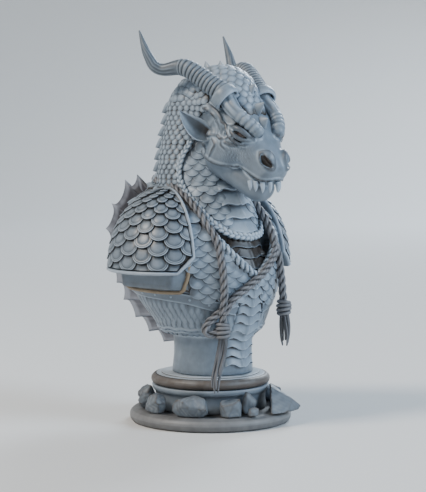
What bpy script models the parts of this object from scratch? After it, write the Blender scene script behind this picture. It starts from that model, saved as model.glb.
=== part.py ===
"""Armoured dragon warrior bust on a round plinth edged with rocks.

The dragon faces -Y and its left side is at +X. The origin is at the middle of the plinth's
underside. Sizes are in millimetres here, and the helpers turn them to metres. The figure is a
free form: its points are read from a side and a front drawing, and one height sets its size.
"""

import math
import random

import bmesh
import bpy
from mathutils import Matrix, Vector

MM = 0.001
SEAT_GAP = 0.3

# Plinth
FOOT_RADIUS = 48.7
FOOT_HEIGHT = 8.0
FOOT_ROUNDING = 4.2
FOOT_ROUND_STEPS = 6
DRUM_RADIUS = 34.0
DRUM_HEIGHT = 13.9
DRUM_LIP = 1.4
DRUM_WAIST = 0.9
DRUM_NECK_IN = 0.6
DRUM_NECK_DOWN = 4.6
DRUM_SPLAY_HEIGHT = 5.0
LIP_BEVEL = 0.6
LIP_LEAN = 0.2
LIP_DEPTH = 2.2
RING_OVERHANG = 0.4
RING_HEIGHT = 7.0
RING_STEP = 3.4
RING_STEP_DROP = 0.6
RING_SLOPE_DROP = 0.3
RING_STEP_LEAN = 0.5
RING_SLOPE_REACH = 1.2
RING_BAND_DROP = 1.0
RING_ROUNDING = 2.6
RING_ROUND_STEPS = 4
TURNED_STEPS = 36

# Rocks
ROCK_SEED = 11
ROCK_POINTS = 18
ROCK_SWELL = 0.6
ROCK_SQUARENESS = 3.4
ROCK_SUNK = 0.4

# Figure
DRAWN_HEIGHT = 203.0
DRAWN_FOOT = 30.0
FIGURE_HEIGHT = 203.0
SKIN_VOXEL = 1.15
TRUNK_TRIANGLES_SHARE = 0.011
HEAD_TRIANGLES_SHARE = 0.062
SECTION_SIDES = 40

HORN_RINGS = 9
RINGED_STEPS = 10
BROW_RIBS = 8
SHOULDER_SWELL = 0.5
SHOULDER_DROP = 12.0

# Shoulder plates
PLATE_THICKNESS = 2.9
PLATE_CENTRE = (30.0, 6.0, 94.5)
PLATE_WIDTH = 30.8
PLATE_FRONT = 31.3
PLATE_BACK = 38.3
PLATE_RISE = 44.8
PLATE_SCALE_ROWS = 8
PLATE_SCALES_ROUND = 20
PLATE_STEP = 1.0
PLATE_RIM_RISE = 0.7
PLATE_RIM_WIDTH = 3.2
PLATE_LOWER_EDGE = 91.0
PLATE_INNER_LINE = ((30.3, 0.0, 91.0), (-1.0, -0.266, 0.0))
PLATE_CORNER_CUT = ((46.2, -19.2, 91.0), (-0.61, -0.28, -0.745))

# Neck rope
ROPE_RADIUS = 2.3
KNOT_RADIUS = 4.6
ROPE_VOXEL = 0.8
ROPE_TRIANGLES_SHARE = 0.035

DRUM_BASE = FOOT_HEIGHT + SEAT_GAP
RING_BASE = DRUM_BASE + DRUM_HEIGHT + SEAT_GAP
COLUMN_BASE = RING_BASE + RING_HEIGHT + SEAT_GAP
LIP_RADIUS = DRUM_RADIUS + DRUM_LIP
RING_RADIUS = LIP_RADIUS + RING_OVERHANG
FIGURE_SCALE = FIGURE_HEIGHT / DRAWN_HEIGHT

# Rings of the figure: height, front, back, half width
COLUMN_RINGS = (
    (24.0, -26.0, 22.4, 24.2),
    (31.0, -26.0, 22.4, 24.2),
    (42.0, -25.6, 21.4, 23.4),
    (52.0, -26.6, 22.0, 24.0),
    (66.0, -31.0, 24.0, 28.0),
    (84.0, -34.6, 30.0, 30.0),
)
TRUNK_RINGS = (
    (53.6, -26.0, 25.0, 27.0),
    (56.0, -29.0, 28.0, 31.0),
    (62.0, -31.0, 31.0, 34.5),
    (70.0, -33.0, 38.0, 39.0),
    (78.0, -35.0, 44.5, 42.0),
    (86.0, -36.5, 50.0, 43.5),
    (97.0, -37.5, 56.0, 44.5),
    (108.0, -36.0, 59.0, 44.5),
    (118.0, -33.0, 57.5, 42.5),
    (127.0, -27.5, 52.0, 38.0),
    (134.0, -22.5, 45.0, 33.0),
    (140.0, -18.5, 38.5, 28.5),
)
NECK_RINGS = (
    (112.0, -28.0, 45.0, 24.0),
    (123.0, -25.4, 45.0, 26.0),
    (130.0, -22.0, 41.0, 26.0),
    (139.0, -18.4, 36.5, 25.0),
    (146.0, -16.0, 34.5, 24.4),
    (154.0, -14.0, 33.5, 23.5),
    (162.0, -12.0, 32.5, 22.5),
    (170.0, -12.0, 31.0, 21.5),
    (179.0, -13.0, 28.5, 20.5),
    (188.0, -14.0, 27.0, 20.0),
    (196.0, -12.0, 23.6, 18.2),
    (203.0, -9.0, 17.0, 14.0),
)

# Rings of the face: middle y, middle z, half width, half depth, seen square to their own axis
MUZZLE_AXIS_TILT = 41.0
MUZZLE_RINGS = (
    (-20.0, 180.0, 17.5, 17.5),
    (-32.0, 169.0, 17.0, 14.0),
    (-40.0, 160.5, 14.6, 11.5),
    (-45.0, 154.0, 12.4, 10.2),
    (-48.2, 150.2, 11.0, 9.4),
    (-50.8, 147.2, 9.6, 7.8),
    (-52.4, 145.4, 7.6, 5.6),
)
JAW_AXIS_TILT = 58.0
JAW_RINGS = (
    (-14.0, 157.0, 16.5, 10.0),
    (-28.0, 148.6, 14.0, 8.4),
    (-37.0, 142.4, 11.4, 7.6),
    (-43.0, 138.6, 8.4, 6.8),
    (-46.6, 137.2, 5.6, 4.6),
)

# Ellipsoids of the head: middle, radii
CRANIUM = ((0.0, -9.0, 190.0), (18.5, 24.0, 21.5))
CHEEK = ((13.0, -23.0, 163.5), (9.0, 14.0, 12.0))
NOSTRIL = ((7.2, -51.6, 156.8), (3.8, 5.2, 5.2))
NOSTRIL_HOLE = ((10.0, -55.2, 156.0), (2.3, 2.6, 3.3))
EYE = ((14.0, -39.0, 172.4), (4.4, 4.4, 4.4))

# Tapered strokes of one side: each point is x, y, z, radius
BROW = (
    (15.2, -28.7, 190.0, 4.4),
    (15.8, -36.0, 184.6, 3.6),
    (13.0, -42.3, 178.7, 3.4),
    (9.5, -46.0, 174.0, 3.6),
    (7.7, -47.2, 171.6, 3.8),
)
HORN = (
    (14.8, -29.2, 190.6, 4.4),
    (15.7, -27.2, 194.8, 5.4),
    (18.6, -20.3, 199.8, 5.6),
    (21.8, -12.6, 205.5, 5.4),
    (24.4, -6.4, 209.6, 5.1),
    (25.9, 0.0, 210.8, 4.6),
    (30.0, 9.0, 209.6, 3.6),
    (33.0, 13.5, 211.7, 3.4),
    (34.5, 16.7, 216.9, 2.9),
    (35.2, 19.5, 222.7, 2.2),
    (35.3, 24.2, 233.0, 0.8),
)
COLLAR = (
    (15.1, -28.6, 192.6, 6.4),
    (15.9, -26.4, 195.4, 7.0),
    (16.6, -24.2, 197.0, 6.2),
)
EAR = (
    (19.0, -19.0, 172.5, 4.2),
    (24.0, -15.6, 176.0, 5.4),
    (28.5, -12.6, 180.0, 4.6),
    (33.0, -9.0, 184.6, 0.9),
)
EAR_HOLLOW = (
    (24.0, -20.0, 176.6, 3.6),
    (27.6, -16.8, 179.6, 3.0),
    (31.4, -13.4, 183.0, 0.8),
)
EAR_FOLD = (
    (21.0, -11.0, 186.0, 1.6),
    (20.5, -20.0, 185.0, 2.2),
    (19.6, -27.5, 179.0, 2.4),
    (19.0, -28.0, 171.0, 2.0),
)
UPPER_LID = (
    (18.0, -35.0, 173.5, 1.2),
    (17.0, -38.8, 176.0, 1.4),
    (14.0, -42.6, 175.4, 1.4),
    (11.6, -44.6, 171.6, 1.2),
)
LOWER_LID = (
    (18.0, -35.0, 173.5, 1.2),
    (18.2, -38.4, 169.6, 1.6),
    (15.4, -42.0, 168.0, 1.6),
    (11.6, -44.6, 170.0, 1.2),
)
LIP = (
    (20.4, -12.0, 161.0, 1.5),
    (20.4, -22.0, 154.4, 1.7),
    (17.0, -33.0, 150.6, 1.6),
    (13.6, -42.6, 146.6, 1.5),
    (10.2, -48.2, 145.0, 1.4),
    (5.5, -52.8, 143.9, 1.4),
    (-1.0, -55.0, 143.6, 1.4),
)
NECKLINE = (
    (0.5, -37.0, 89.6, 2.3),
    (4.0, -36.6, 91.0, 2.3),
    (15.0, -34.0, 100.0, 2.2),
    (23.5, -29.0, 110.0, 2.2),
    (28.0, -20.0, 121.5, 2.2),
    (28.6, -6.0, 132.0, 2.2),
    (26.0, 14.0, 139.6, 2.2),
    (16.0, 31.0, 141.6, 2.2),
    (-1.0, 38.6, 141.8, 2.2),
)
THROAT_CORD = (
    (-0.5, -29.0, 110.5, 2.2),
    (11.0, -26.0, 113.0, 2.2),
    (19.0, -19.0, 121.0, 2.1),
    (23.0, -8.0, 133.0, 2.0),
    (24.0, 1.0, 146.0, 1.9),
    (22.4, 1.0, 158.0, 1.8),
    (21.0, -4.0, 168.0, 1.6),
)
ARMHOLE = (
    (33.4, -24.0, 103.0, 1.6),
    (35.6, -20.5, 91.0, 1.7),
    (37.0, -16.6, 83.6, 1.8),
    (40.6, -6.0, 80.6, 1.8),
    (43.0, 10.0, 82.0, 1.8),
    (39.0, 28.0, 85.5, 1.8),
    (33.0, 38.0, 92.0, 1.6),
)
STRAP = (
    (17.0, -29.4, 70.6, 2.4),
    (25.4, -24.0, 72.6, 2.6),
    (34.0, -15.6, 75.6, 2.6),
    (40.4, 0.0, 77.8, 2.6),
    (40.0, 20.0, 79.0, 2.6),
    (30.0, 37.0, 80.0, 2.6),
    (14.0, 45.4, 80.6, 2.6),
)

# Spikes of the brow on the middle line: root y, z, then tip y, z
BROW_SPIKES = (
    ((-30.0, 195.0), (-36.0, 200.6)),
    ((-37.6, 186.0), (-43.4, 190.2)),
    ((-43.0, 178.6), (-48.6, 183.2)),
)
CROWN_SPIKES = (
    ((-19.0, 205.0), (-20.0, 210.6)),
    ((-9.0, 209.4), (-8.0, 215.4)),
    ((2.0, 208.4), (4.4, 215.6)),
    ((11.0, 203.6), (15.4, 209.6)),
)

# Teeth of one side along the lip: root x, y, z, then length
TEETH = (
    (12.0, -43.9, 144.2, 4.6),
    (9.9, -46.2, 143.8, 5.0),
    (6.9, -48.9, 143.4, 5.4),
    (3.2, -51.3, 143.2, 5.0),
)

# Belly plates down the middle: lower edge's y, z of each, and half width of the row
THROAT_KEEL = (
    (-16.6, 146.0),
    (-19.0, 139.0),
    (-22.6, 130.4),
    (-26.2, 122.6),
    (-30.2, 114.6),
    (-32.2, 106.4),
    (-34.8, 97.4),
)
THROAT_HALF_WIDTH = 13.0
BELLY_KEEL = (
    (-38.6, 88.0),
    (-37.8, 82.8),
    (-36.6, 77.6),
    (-34.6, 72.4),
    (-32.6, 67.2),
    (-30.6, 62.0),
    (-29.0, 56.8),
    (-27.8, 51.6),
    (-27.0, 46.4),
    (-26.8, 41.2),
    (-27.2, 36.0),
)
BELLY_HALF_WIDTH = 9.4
KEEL_STEP = 1.2
KEEL_DEPTH = 26.0

# Crest of the back in the middle plane: tip y, z, valley y, z, from the neck down
CREST_SPINES = (
    ((56.5, 141.0), (60.5, 137.0)),
    ((66.0, 147.0), (70.0, 139.5)),
    ((77.5, 143.5), (81.0, 130.5)),
    ((90.5, 128.0), (88.5, 119.0)),
    ((96.5, 111.5), (90.0, 103.5)),
    ((95.5, 92.5), (86.5, 88.0)),
    ((86.0, 77.0), (77.5, 75.0)),
    ((79.5, 66.5), (71.0, 65.0)),
    ((68.0, 56.2), (59.0, 56.4)),
    ((55.5, 48.2), (46.5, 50.6)),
    ((42.0, 43.0), (33.0, 45.4)),
)
CREST_ROOT = ((20.0, 42.0), (18.0, 90.0), (36.0, 135.0))
CREST_THICKNESS = 3.0

# Middle line of the rope: each point is x, y, z
ROPE_ROUND_NECK = (
    (20.0, -34.0, 107.0),
    (20.8, -27.6, 118.4),
    (20.6, -18.4, 129.6),
    (22.4, -8.0, 138.0),
    (23.6, 8.0, 143.4),
    (18.0, 28.0, 145.2),
    (7.0, 37.6, 145.4),
    (-7.0, 37.6, 145.4),
    (-18.0, 28.0, 144.6),
    (-24.0, 8.0, 141.4),
    (-26.4, -10.6, 131.8),
    (-27.2, -22.6, 121.0),
    (-25.6, -30.4, 111.0),
    (-25.0, -34.0, 98.4),
    (-24.4, -35.4, 87.7),
    (-23.4, -34.6, 76.3),
    (-22.4, -32.4, 65.0),
    (-21.8, -31.6, 59.0),
)
ROPE_CROSSING = (
    (20.0, -34.0, 107.0),
    (15.0, -37.6, 100.0),
    (3.6, -41.0, 91.7),
    (-8.0, -40.4, 84.4),
    (-19.0, -37.0, 76.5),
    (-22.4, -33.6, 68.0),
)
ROPE_HANGING = (
    (20.0, -34.0, 107.0),
    (21.4, -35.4, 100.4),
    (23.4, -36.0, 88.8),
    (24.6, -36.4, 76.7),
    (25.2, -36.8, 68.6),
)
ROPE_LOOP = (
    (-21.8, -31.6, 70.0),
    (-25.6, -29.6, 66.8),
    (-29.4, -26.6, 62.0),
    (-30.0, -26.4, 57.6),
    (-26.8, -28.6, 56.6),
    (-21.8, -31.6, 59.0),
)
KNOTS = ((-21.8, -31.8, 58.6), (25.2, -36.8, 68.8))
TASSELS = (
    ((-21.8, -31.8, 58.6, 2.8), (-21.4, -31.4, 50.0, 3.4), (-23.6, -31.0, 40.0, 3.0),
     (-27.6, -32.0, 30.0, 2.4), (-28.0, -32.4, 22.6, 1.2)),
    ((25.2, -36.8, 68.8, 2.8), (25.6, -37.0, 61.0, 3.6), (25.8, -37.2, 54.0, 3.0),
     (25.8, -37.2, 46.0, 1.0)),
)

# Rocks: turn round the plinth from the front, reach from the drum's lip to the rock's middle,
# width, depth, height
ROCKS = (
    (-119.0, 4.9, 12.0, 10.0, 15.0),
    (-96.0, 6.4, 14.0, 11.5, 11.5),
    (-61.0, 6.1, 21.5, 12.0, 12.5),
    (-27.5, 5.6, 15.0, 10.5, 12.0),
    (-8.0, 2.6, 10.0, 6.0, 13.5),
    (-12.0, 9.6, 9.0, 5.0, 5.8),
    (67.0, 5.1, 14.0, 11.0, 11.0),
    (98.0, 5.6, 17.0, 12.0, 12.0),
    (134.0, 5.1, 14.0, 12.0, 10.0),
    (168.0, 5.6, 18.0, 12.0, 13.0),
    (-150.0, 5.1, 14.0, 11.0, 11.0),
)
# Corners of the great rock that overhangs the foot: turn round the plinth, reach from the
# drum's lip, height above the foot
GREAT_ROCK = (
    (14.0, 2.8, 16.2),
    (21.0, 4.4, 14.8),
    (7.0, 3.0, 11.0),
    (2.0, 6.4, 5.0),
    (4.0, 14.6, -2.2),
    (13.0, 17.0, -1.4),
    (24.0, 16.6, 7.2),
    (33.0, 14.4, 6.0),
    (31.0, 20.2, 2.2),
    (28.0, 18.4, -0.8),
    (40.0, 12.0, 1.0),
    (47.0, 7.0, 4.0),
    (46.0, 1.6, 10.0),
    (34.0, 2.0, 14.0),
    (48.0, 1.4, 1.0),
    (5.0, 1.4, 1.0),
)


def figure_point(x, y, z):
    """A drawn point of the figure, in metres, in its place above the plinth."""
    return Vector(
        (
            x * FIGURE_SCALE * MM,
            y * FIGURE_SCALE * MM,
            (COLUMN_BASE + (z - DRAWN_FOOT) * FIGURE_SCALE) * MM,
        )
    )


def figure_size(length):
    """A drawn length of the figure, in metres."""
    return length * FIGURE_SCALE * MM


def drawn(length):
    """A real length in mm as a drawn length of the figure."""
    return length / FIGURE_SCALE


def material(name, colour, roughness=0.6):
    """A matt cast surface: linear colour and roughness on a Principled BSDF."""
    made = bpy.data.materials.new(name)
    made.use_nodes = True
    shader = made.node_tree.nodes["Principled BSDF"]
    shader.inputs["Base Color"].default_value = (*colour, 1.0)
    shader.inputs["Roughness"].default_value = roughness
    shader.inputs["Metallic"].default_value = 0.0
    made.diffuse_color = (*colour, 1.0)
    return made


def add_object(name, mesh, collection, finish=None):
    """Puts a mesh in the scene as one named object, with its finish."""
    made = bpy.data.objects.new(name, mesh)
    collection.objects.link(made)
    if finish:
        mesh.materials.append(finish)
    return made


def add_helper(name, mesh, collection):
    """A cutter: it shapes other objects and isn't part of the bust."""
    made = add_object(name, mesh, collection)
    made.hide_render = True
    made.display_type = "WIRE"
    return made


def ellipsoid(middle, radii, segments=16, rings=10, lower=None):
    """A bmesh ellipsoid about a point in metres; lower is its radius below the middle."""
    form = bmesh.new()
    bmesh.ops.create_uvsphere(form, u_segments=segments, v_segments=rings, radius=1.0)
    for vertex in form.verts:
        rise = radii[2] if vertex.co.z > 0 or lower is None else lower
        vertex.co = middle + Vector(
            (vertex.co.x * radii[0], vertex.co.y * radii[1], vertex.co.z * rise)
        )
    return form


def drawn_ellipsoid(middle, radii, side=1.0, segments=16, rings=10, lower=None):
    """An ellipsoid of the figure, on its left side, or on its right with side -1."""
    return ellipsoid(
        figure_point(middle[0] * side, middle[1], middle[2]),
        [figure_size(r) for r in radii],
        segments,
        rings,
        None if lower is None else figure_size(lower),
    )


def loft(rings, tilt=0.0, squareness=2.0):
    """Skin over drawn rings of y, z, half width and half depth, square to an axis in the middle
    plane that leans forward from straight down by tilt degrees. Each ring is a superellipse."""
    lean = math.radians(tilt)
    form = bmesh.new()
    loops = []
    for y, z, half_width, half_depth in rings:
        loop = []
        for step in range(SECTION_SIDES):
            turn = 2 * math.pi * step / SECTION_SIDES
            across = math.copysign(abs(math.sin(turn)) ** (2 / squareness), math.sin(turn))
            ahead = math.copysign(abs(math.cos(turn)) ** (2 / squareness), math.cos(turn))
            depth = half_depth * ahead
            loop.append(
                form.verts.new(
                    figure_point(
                        half_width * across,
                        y - depth * math.cos(lean),
                        z + depth * math.sin(lean),
                    )
                )
            )
        loops.append(loop)
    for upper, under in zip(loops, loops[1:]):
        for step in range(SECTION_SIDES):
            after = (step + 1) % SECTION_SIDES
            form.faces.new((upper[step], upper[after], under[after], under[step]))
    form.faces.new(loops[0])
    form.faces.new(loops[-1])
    bmesh.ops.recalc_face_normals(form, faces=form.faces)
    return form


def upright_rings(rings):
    """Rings given by height, front, back and half width, as loft takes them."""
    return [
        (0.5 * (front + back), height, half_width, 0.5 * (back - front))
        for height, front, back, half_width in rings
    ]


def smooth_route(points, steps=4):
    """Points along one smooth curve through the given points, by Catmull and Rom's rule."""
    padded = [points[0], *points, points[-1]]
    route = []
    for before, start, end, after in zip(padded, padded[1:], padded[2:], padded[3:]):
        for step in range(steps):
            t = step / steps
            route.append(
                tuple(
                    0.5
                    * (
                        2 * b
                        + (c - a) * t
                        + (2 * a - 5 * b + 4 * c - d) * t**2
                        + (3 * b - a - 3 * c + d) * t**3
                    )
                    for a, b, c, d in zip(before, start, end, after)
                )
            )
    route.append(tuple(points[-1]))
    return route


def stroke(points, side=1.0, steps=4):
    """A round bar along drawn points of x, y, z and radius, closed at both ends."""
    curve = bpy.data.curves.new("stroke", "CURVE")
    curve.dimensions = "3D"
    curve.bevel_depth = MM
    curve.bevel_resolution = 2
    curve.use_fill_caps = True
    route = smooth_route(points, steps)
    spline = curve.splines.new("POLY")
    spline.points.add(len(route) - 1)
    for point, (x, y, z, radius) in zip(spline.points, route):
        point.co = (*figure_point(x * side, y, z), 1.0)
        point.radius = figure_size(radius) / MM
    guide = bpy.data.objects.new("stroke", curve)
    bpy.context.scene.collection.objects.link(guide)
    graph = bpy.context.evaluated_depsgraph_get()
    mesh = bpy.data.meshes.new_from_object(guide.evaluated_get(graph))
    form = bmesh.new()
    form.from_mesh(mesh)
    bmesh.ops.remove_doubles(form, verts=form.verts, dist=1e-6)
    bmesh.ops.recalc_face_normals(form, faces=form.faces)
    bpy.data.objects.remove(guide)
    bpy.data.curves.remove(curve)
    bpy.data.meshes.remove(mesh)
    return form


def spike(root, tip, radius):
    """A cone in the middle plane from a drawn root y, z to a drawn tip."""
    return stroke(((0.0, *root, radius), (0.0, *tip, 0.35)), steps=1)


def joined(name, forms):
    """One mesh that holds all the forms, still overlapping."""
    whole = bmesh.new()
    for form in forms:
        piece = bpy.data.meshes.new("piece")
        form.to_mesh(piece)
        form.free()
        whole.from_mesh(piece)
        bpy.data.meshes.remove(piece)
    mesh = bpy.data.meshes.new(name)
    whole.to_mesh(mesh)
    whole.free()
    return mesh


def fuse(body, voxel, share, smooth=2):
    """Modifiers that turn overlapping forms into one skin with few triangles."""
    remesh = body.modifiers.new("Fuse", "REMESH")
    remesh.mode = "VOXEL"
    remesh.voxel_size = figure_size(voxel)
    soften = body.modifiers.new("Soften", "SMOOTH")
    soften.factor = 0.5
    soften.iterations = smooth
    thin = body.modifiers.new("Thin", "DECIMATE")
    thin.ratio = share


def cut(body, cutter, operation="DIFFERENCE"):
    """An exact Boolean of the body with a cutter."""
    made = body.modifiers.new(cutter.name, "BOOLEAN")
    made.operation = operation
    made.solver = "EXACT"
    made.object = cutter


def space_within(planes):
    """A big block cut back by planes, each a point and the direction that is cut away."""
    form = bmesh.new()
    bmesh.ops.create_cube(form, size=0.5)
    for point, away in planes:
        found = bmesh.ops.bisect_plane(
            form,
            geom=[*form.verts, *form.edges, *form.faces],
            plane_co=point,
            plane_no=away,
            clear_outer=True,
        )
        rim = [e for e in found["geom_cut"] if isinstance(e, bmesh.types.BMEdge)]
        bmesh.ops.contextual_create(form, geom=rim)
    bmesh.ops.recalc_face_normals(form, faces=form.faces)
    return form


def turned(name, profile, collection, finish):
    """A solid turned about Z from a profile of radius and height in mm, outer side downwards."""
    mesh = bpy.data.meshes.new(name)
    points = [(r * MM, 0.0, z * MM) for r, z in profile]
    mesh.from_pydata(points, [(i, i + 1) for i in range(len(points) - 1)], [])
    made = add_object(name, mesh, collection, finish)
    screw = made.modifiers.new("Turn", "SCREW")
    screw.steps = screw.render_steps = TURNED_STEPS
    screw.use_merge_vertices = True
    screw.merge_threshold = 1e-5
    screw.use_smooth_shade = True
    return made


def rounded_edge(radius, low, high, bulge, steps=5):
    """Profile of a rounded rim from its upper to its lower corner, bulging out to radius."""
    rise = 0.5 * (high - low)
    return [
        (
            radius - bulge + bulge * math.sin(math.pi * step / steps),
            0.5 * (high + low) + rise * math.cos(math.pi * step / steps),
        )
        for step in range(steps + 1)
    ]


def make_plinth(collection, pale, grey, taupe):
    """Foot disc, drum and ring, each turned and resting on the one below."""
    foot_edge = rounded_edge(FOOT_RADIUS, 0, FOOT_HEIGHT, FOOT_ROUNDING, FOOT_ROUND_STEPS)
    turned(
        "foot_disc",
        [(0, FOOT_HEIGHT), *foot_edge, (0, 0)],
        collection,
        pale,
    )
    top = DRUM_BASE + DRUM_HEIGHT
    turned(
        "plinth_drum",
        [
            (0, top),
            (LIP_RADIUS - LIP_BEVEL, top),
            (LIP_RADIUS, top - LIP_BEVEL),
            (LIP_RADIUS - LIP_LEAN, top - LIP_DEPTH),
            (DRUM_RADIUS - DRUM_NECK_IN, top - DRUM_NECK_DOWN),
            (DRUM_RADIUS - DRUM_WAIST, DRUM_BASE + DRUM_SPLAY_HEIGHT),
            (DRUM_RADIUS, DRUM_BASE),
            (0, DRUM_BASE),
        ],
        collection,
        grey,
    )
    ring_top = RING_BASE + RING_HEIGHT
    step_radius = RING_RADIUS - 2 * RING_STEP
    slope_foot = ring_top - RING_STEP_DROP - RING_SLOPE_DROP
    band_top = ring_top - RING_BAND_DROP
    turned(
        "plinth_ring",
        [
            (0, ring_top),
            (step_radius, ring_top),
            (step_radius + RING_STEP_LEAN, ring_top - RING_STEP_DROP),
            (RING_RADIUS - RING_STEP - RING_SLOPE_REACH, slope_foot),
            *rounded_edge(RING_RADIUS, RING_BASE, band_top, RING_ROUNDING, RING_ROUND_STEPS),
            (0, RING_BASE),
        ],
        collection,
        taupe,
    )


def hull(spots):
    """The convex solid over points in metres."""
    form = bmesh.new()
    for spot in spots:
        form.verts.new(spot)
    found = bmesh.ops.convex_hull(form, input=form.verts)
    bmesh.ops.delete(form, geom=found["geom_interior"], context="VERTS")
    bmesh.ops.recalc_face_normals(form, faces=form.faces)
    return form


def rock_form(dice, width, depth, height):
    """A rough stone: the hull of points thrown on a rounded block, cut level below."""
    spots = []
    for _ in range(ROCK_POINTS):
        spot = Vector([dice.gauss(0, 1) for _ in range(3)])
        spot /= sum(abs(c) ** ROCK_SQUARENESS for c in spot) ** (1 / ROCK_SQUARENESS)
        spots.append((spot.x * width / 2, spot.y * depth / 2, spot.z * height * ROCK_SWELL))
    form = hull(spots)
    found = bmesh.ops.bisect_plane(
        form,
        geom=[*form.verts, *form.edges, *form.faces],
        plane_co=(0, 0, -height * ROCK_SUNK),
        plane_no=(0, 0, -1),
        clear_outer=True,
    )
    rim = [e for e in found["geom_cut"] if isinstance(e, bmesh.types.BMEdge)]
    bmesh.ops.contextual_create(form, geom=rim)
    form.transform(Matrix.Translation((0, 0, height * ROCK_SUNK)))
    bmesh.ops.recalc_face_normals(form, faces=form.faces)
    return form


def round_the_plinth(turn, reach, height):
    """A point in metres by its turn from the front, its reach from the drum's lip and its
    height above the foot disc."""
    angle = math.radians(turn)
    radius = (LIP_RADIUS + reach) * MM
    return Vector(
        (math.sin(angle) * radius, -math.cos(angle) * radius, (FOOT_HEIGHT + height) * MM)
    )


def make_rocks(collection, helpers, finish):
    """Rough stones that stand on the foot disc and lean on the drum."""
    dice = random.Random(ROCK_SEED)
    rooms = []
    for name, radius, top in (
        ("drum_room", LIP_RADIUS, RING_BASE),
        ("foot_room", FOOT_RADIUS, FOOT_HEIGHT),
    ):
        room = bmesh.new()
        reach, high = (radius + SEAT_GAP) * MM, (top + SEAT_GAP) * MM
        bmesh.ops.create_cone(
            room, cap_ends=True, segments=TURNED_STEPS, radius1=reach, radius2=reach, depth=high
        )
        room.transform(Matrix.Translation((0, 0, high / 2)))
        rooms.append(add_helper(name, joined(name, [room]), helpers))
    forms = []
    for turn, reach, width, depth, height in ROCKS:
        form = rock_form(dice, width * MM, depth * MM, height * MM)
        form.transform(Matrix.Rotation(math.radians(turn), 4, "Z"))
        form.transform(Matrix.Translation(round_the_plinth(turn, reach, SEAT_GAP)))
        forms.append(form)
    forms.append(hull([round_the_plinth(*corner) for corner in GREAT_ROCK]))
    for number, form in enumerate(forms, start=1):
        rock = add_object(f"rock_{number:02d}", joined("rock", [form]), collection, finish)
        for room in rooms:
            cut(rock, room)


def plate_space(side, grow):
    """Where one shoulder plate may be: outside a line beside the neck, above its level lower
    edge and behind its cut corner, with every limit moved out by grow."""
    planes = []
    for (x, y, z), away in (
        PLATE_INNER_LINE,
        PLATE_CORNER_CUT,
        ((0.0, 0.0, PLATE_LOWER_EDGE), (0.0, 0.0, -1.0)),
    ):
        away = Vector((away[0] * side, away[1], away[2])).normalized()
        planes.append((figure_point(x * side, y, z) + away * figure_size(grow), away))
    return space_within(planes)


def dome_point(side, turn, fall, inset):
    """A point of the plate's ellipsoid: turn goes round it and fall down from its top."""
    ahead = math.cos(turn) * math.sin(fall)
    length = PLATE_FRONT if ahead > 0 else PLATE_BACK
    return figure_point(
        (PLATE_CENTRE[0] + (PLATE_WIDTH - inset) * math.sin(turn) * math.sin(fall)) * side,
        PLATE_CENTRE[1] - (length - inset) * ahead,
        PLATE_CENTRE[2] + (PLATE_RISE - inset) * math.cos(fall),
    )


def dome(side, loops, sides):
    """A closed ellipsoid of the plate over loops of fall and inset, each given by its side."""
    form = bmesh.new()
    rows = []
    for loop in loops:
        spots = [loop(step) for step in range(sides)]
        rows.append(
            [
                form.verts.new(dome_point(side, 2 * math.pi * step / sides, fall, inset))
                for step, (fall, inset) in enumerate(spots)
            ]
        )
    for upper, under in zip(rows, rows[1:]):
        for step in range(sides):
            after = (step + 1) % sides
            form.faces.new((upper[step], upper[after], under[after], under[step]))
    form.faces.new(rows[0])
    form.faces.new(rows[-1])
    bmesh.ops.recalc_face_normals(form, faces=form.faces)
    return form


def smooth_dome(side, inset, sides=24, rows=10):
    """The plate's ellipsoid without scales, drawn in by inset."""
    falls = [math.pi * (row + 0.5) / rows for row in range(rows)]
    return dome(side, [lambda step, fall=fall: (fall, inset) for fall in falls], sides)


def scaled_dome(side):
    """The plate's ellipsoid in rows of lapping scales: each row ends in a zigzag of tips that
    stands one step proud of the next row, and the rows are staggered."""
    pitch = 0.56 * math.pi / PLATE_SCALE_ROWS
    loops = [lambda step: (0.4 * pitch, 0.0)]
    for row in range(1, PLATE_SCALE_ROWS + 1):

        def edge(step, row=row):
            return pitch * (row + (0.2 if (step + row) % 2 else -0.2))

        loops.append(lambda step, edge=edge: (edge(step), 0.0))
        loops.append(lambda step, edge=edge: (edge(step) + 0.03 * pitch, drawn(PLATE_STEP)))
    loops.append(lambda step: (0.8 * math.pi, drawn(PLATE_STEP)))
    return dome(side, loops, 2 * PLATE_SCALES_ROUND)


def make_plate(name, side, collection, helpers, finish):
    """A hollow shoulder plate in scale rows with a raised rim, and the room that it takes in
    the bust, which this returns."""

    def helper(label, form):
        return add_helper(f"{name}_{label}", joined(label, [form]), helpers)

    rise, wall, gap = drawn(PLATE_RIM_RISE), drawn(PLATE_THICKNESS), drawn(SEAT_GAP)
    rim = helper("rim", smooth_dome(side, -rise))
    cut(rim, helper("field", plate_space(side, -drawn(PLATE_RIM_WIDTH))))
    shell = add_object(name, joined(name, [scaled_dome(side)]), collection, finish)
    cut(shell, rim, "UNION")
    cut(shell, helper("space", plate_space(side, 0.0)), "INTERSECT")
    cut(shell, helper("hollow", smooth_dome(side, wall)))

    room = helper("room", smooth_dome(side, -rise - gap))
    cut(room, helper("core", smooth_dome(side, wall + gap)))
    cut(room, helper("room_space", plate_space(side, gap)), "INTERSECT")
    return room


def crest_form():
    """The back's fin: an outline of spines and valleys, cut from one thick sheet."""
    outline = []
    for tip, valley in CREST_SPINES:
        outline += [tip, valley]
    outline += CREST_ROOT
    form = bmesh.new()
    half = 0.5 * CREST_THICKNESS
    left = [form.verts.new(figure_point(half, y, z)) for y, z in outline]
    right = [form.verts.new(figure_point(-half, y, z)) for y, z in outline]
    form.faces.new(left)
    form.faces.new(right)
    for i in range(len(outline)):
        j = (i + 1) % len(outline)
        form.faces.new((left[i], left[j], right[j], right[i]))
    bmesh.ops.recalc_face_normals(form, faces=form.faces)
    bmesh.ops.triangulate(form, faces=form.faces)
    return form


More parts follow.
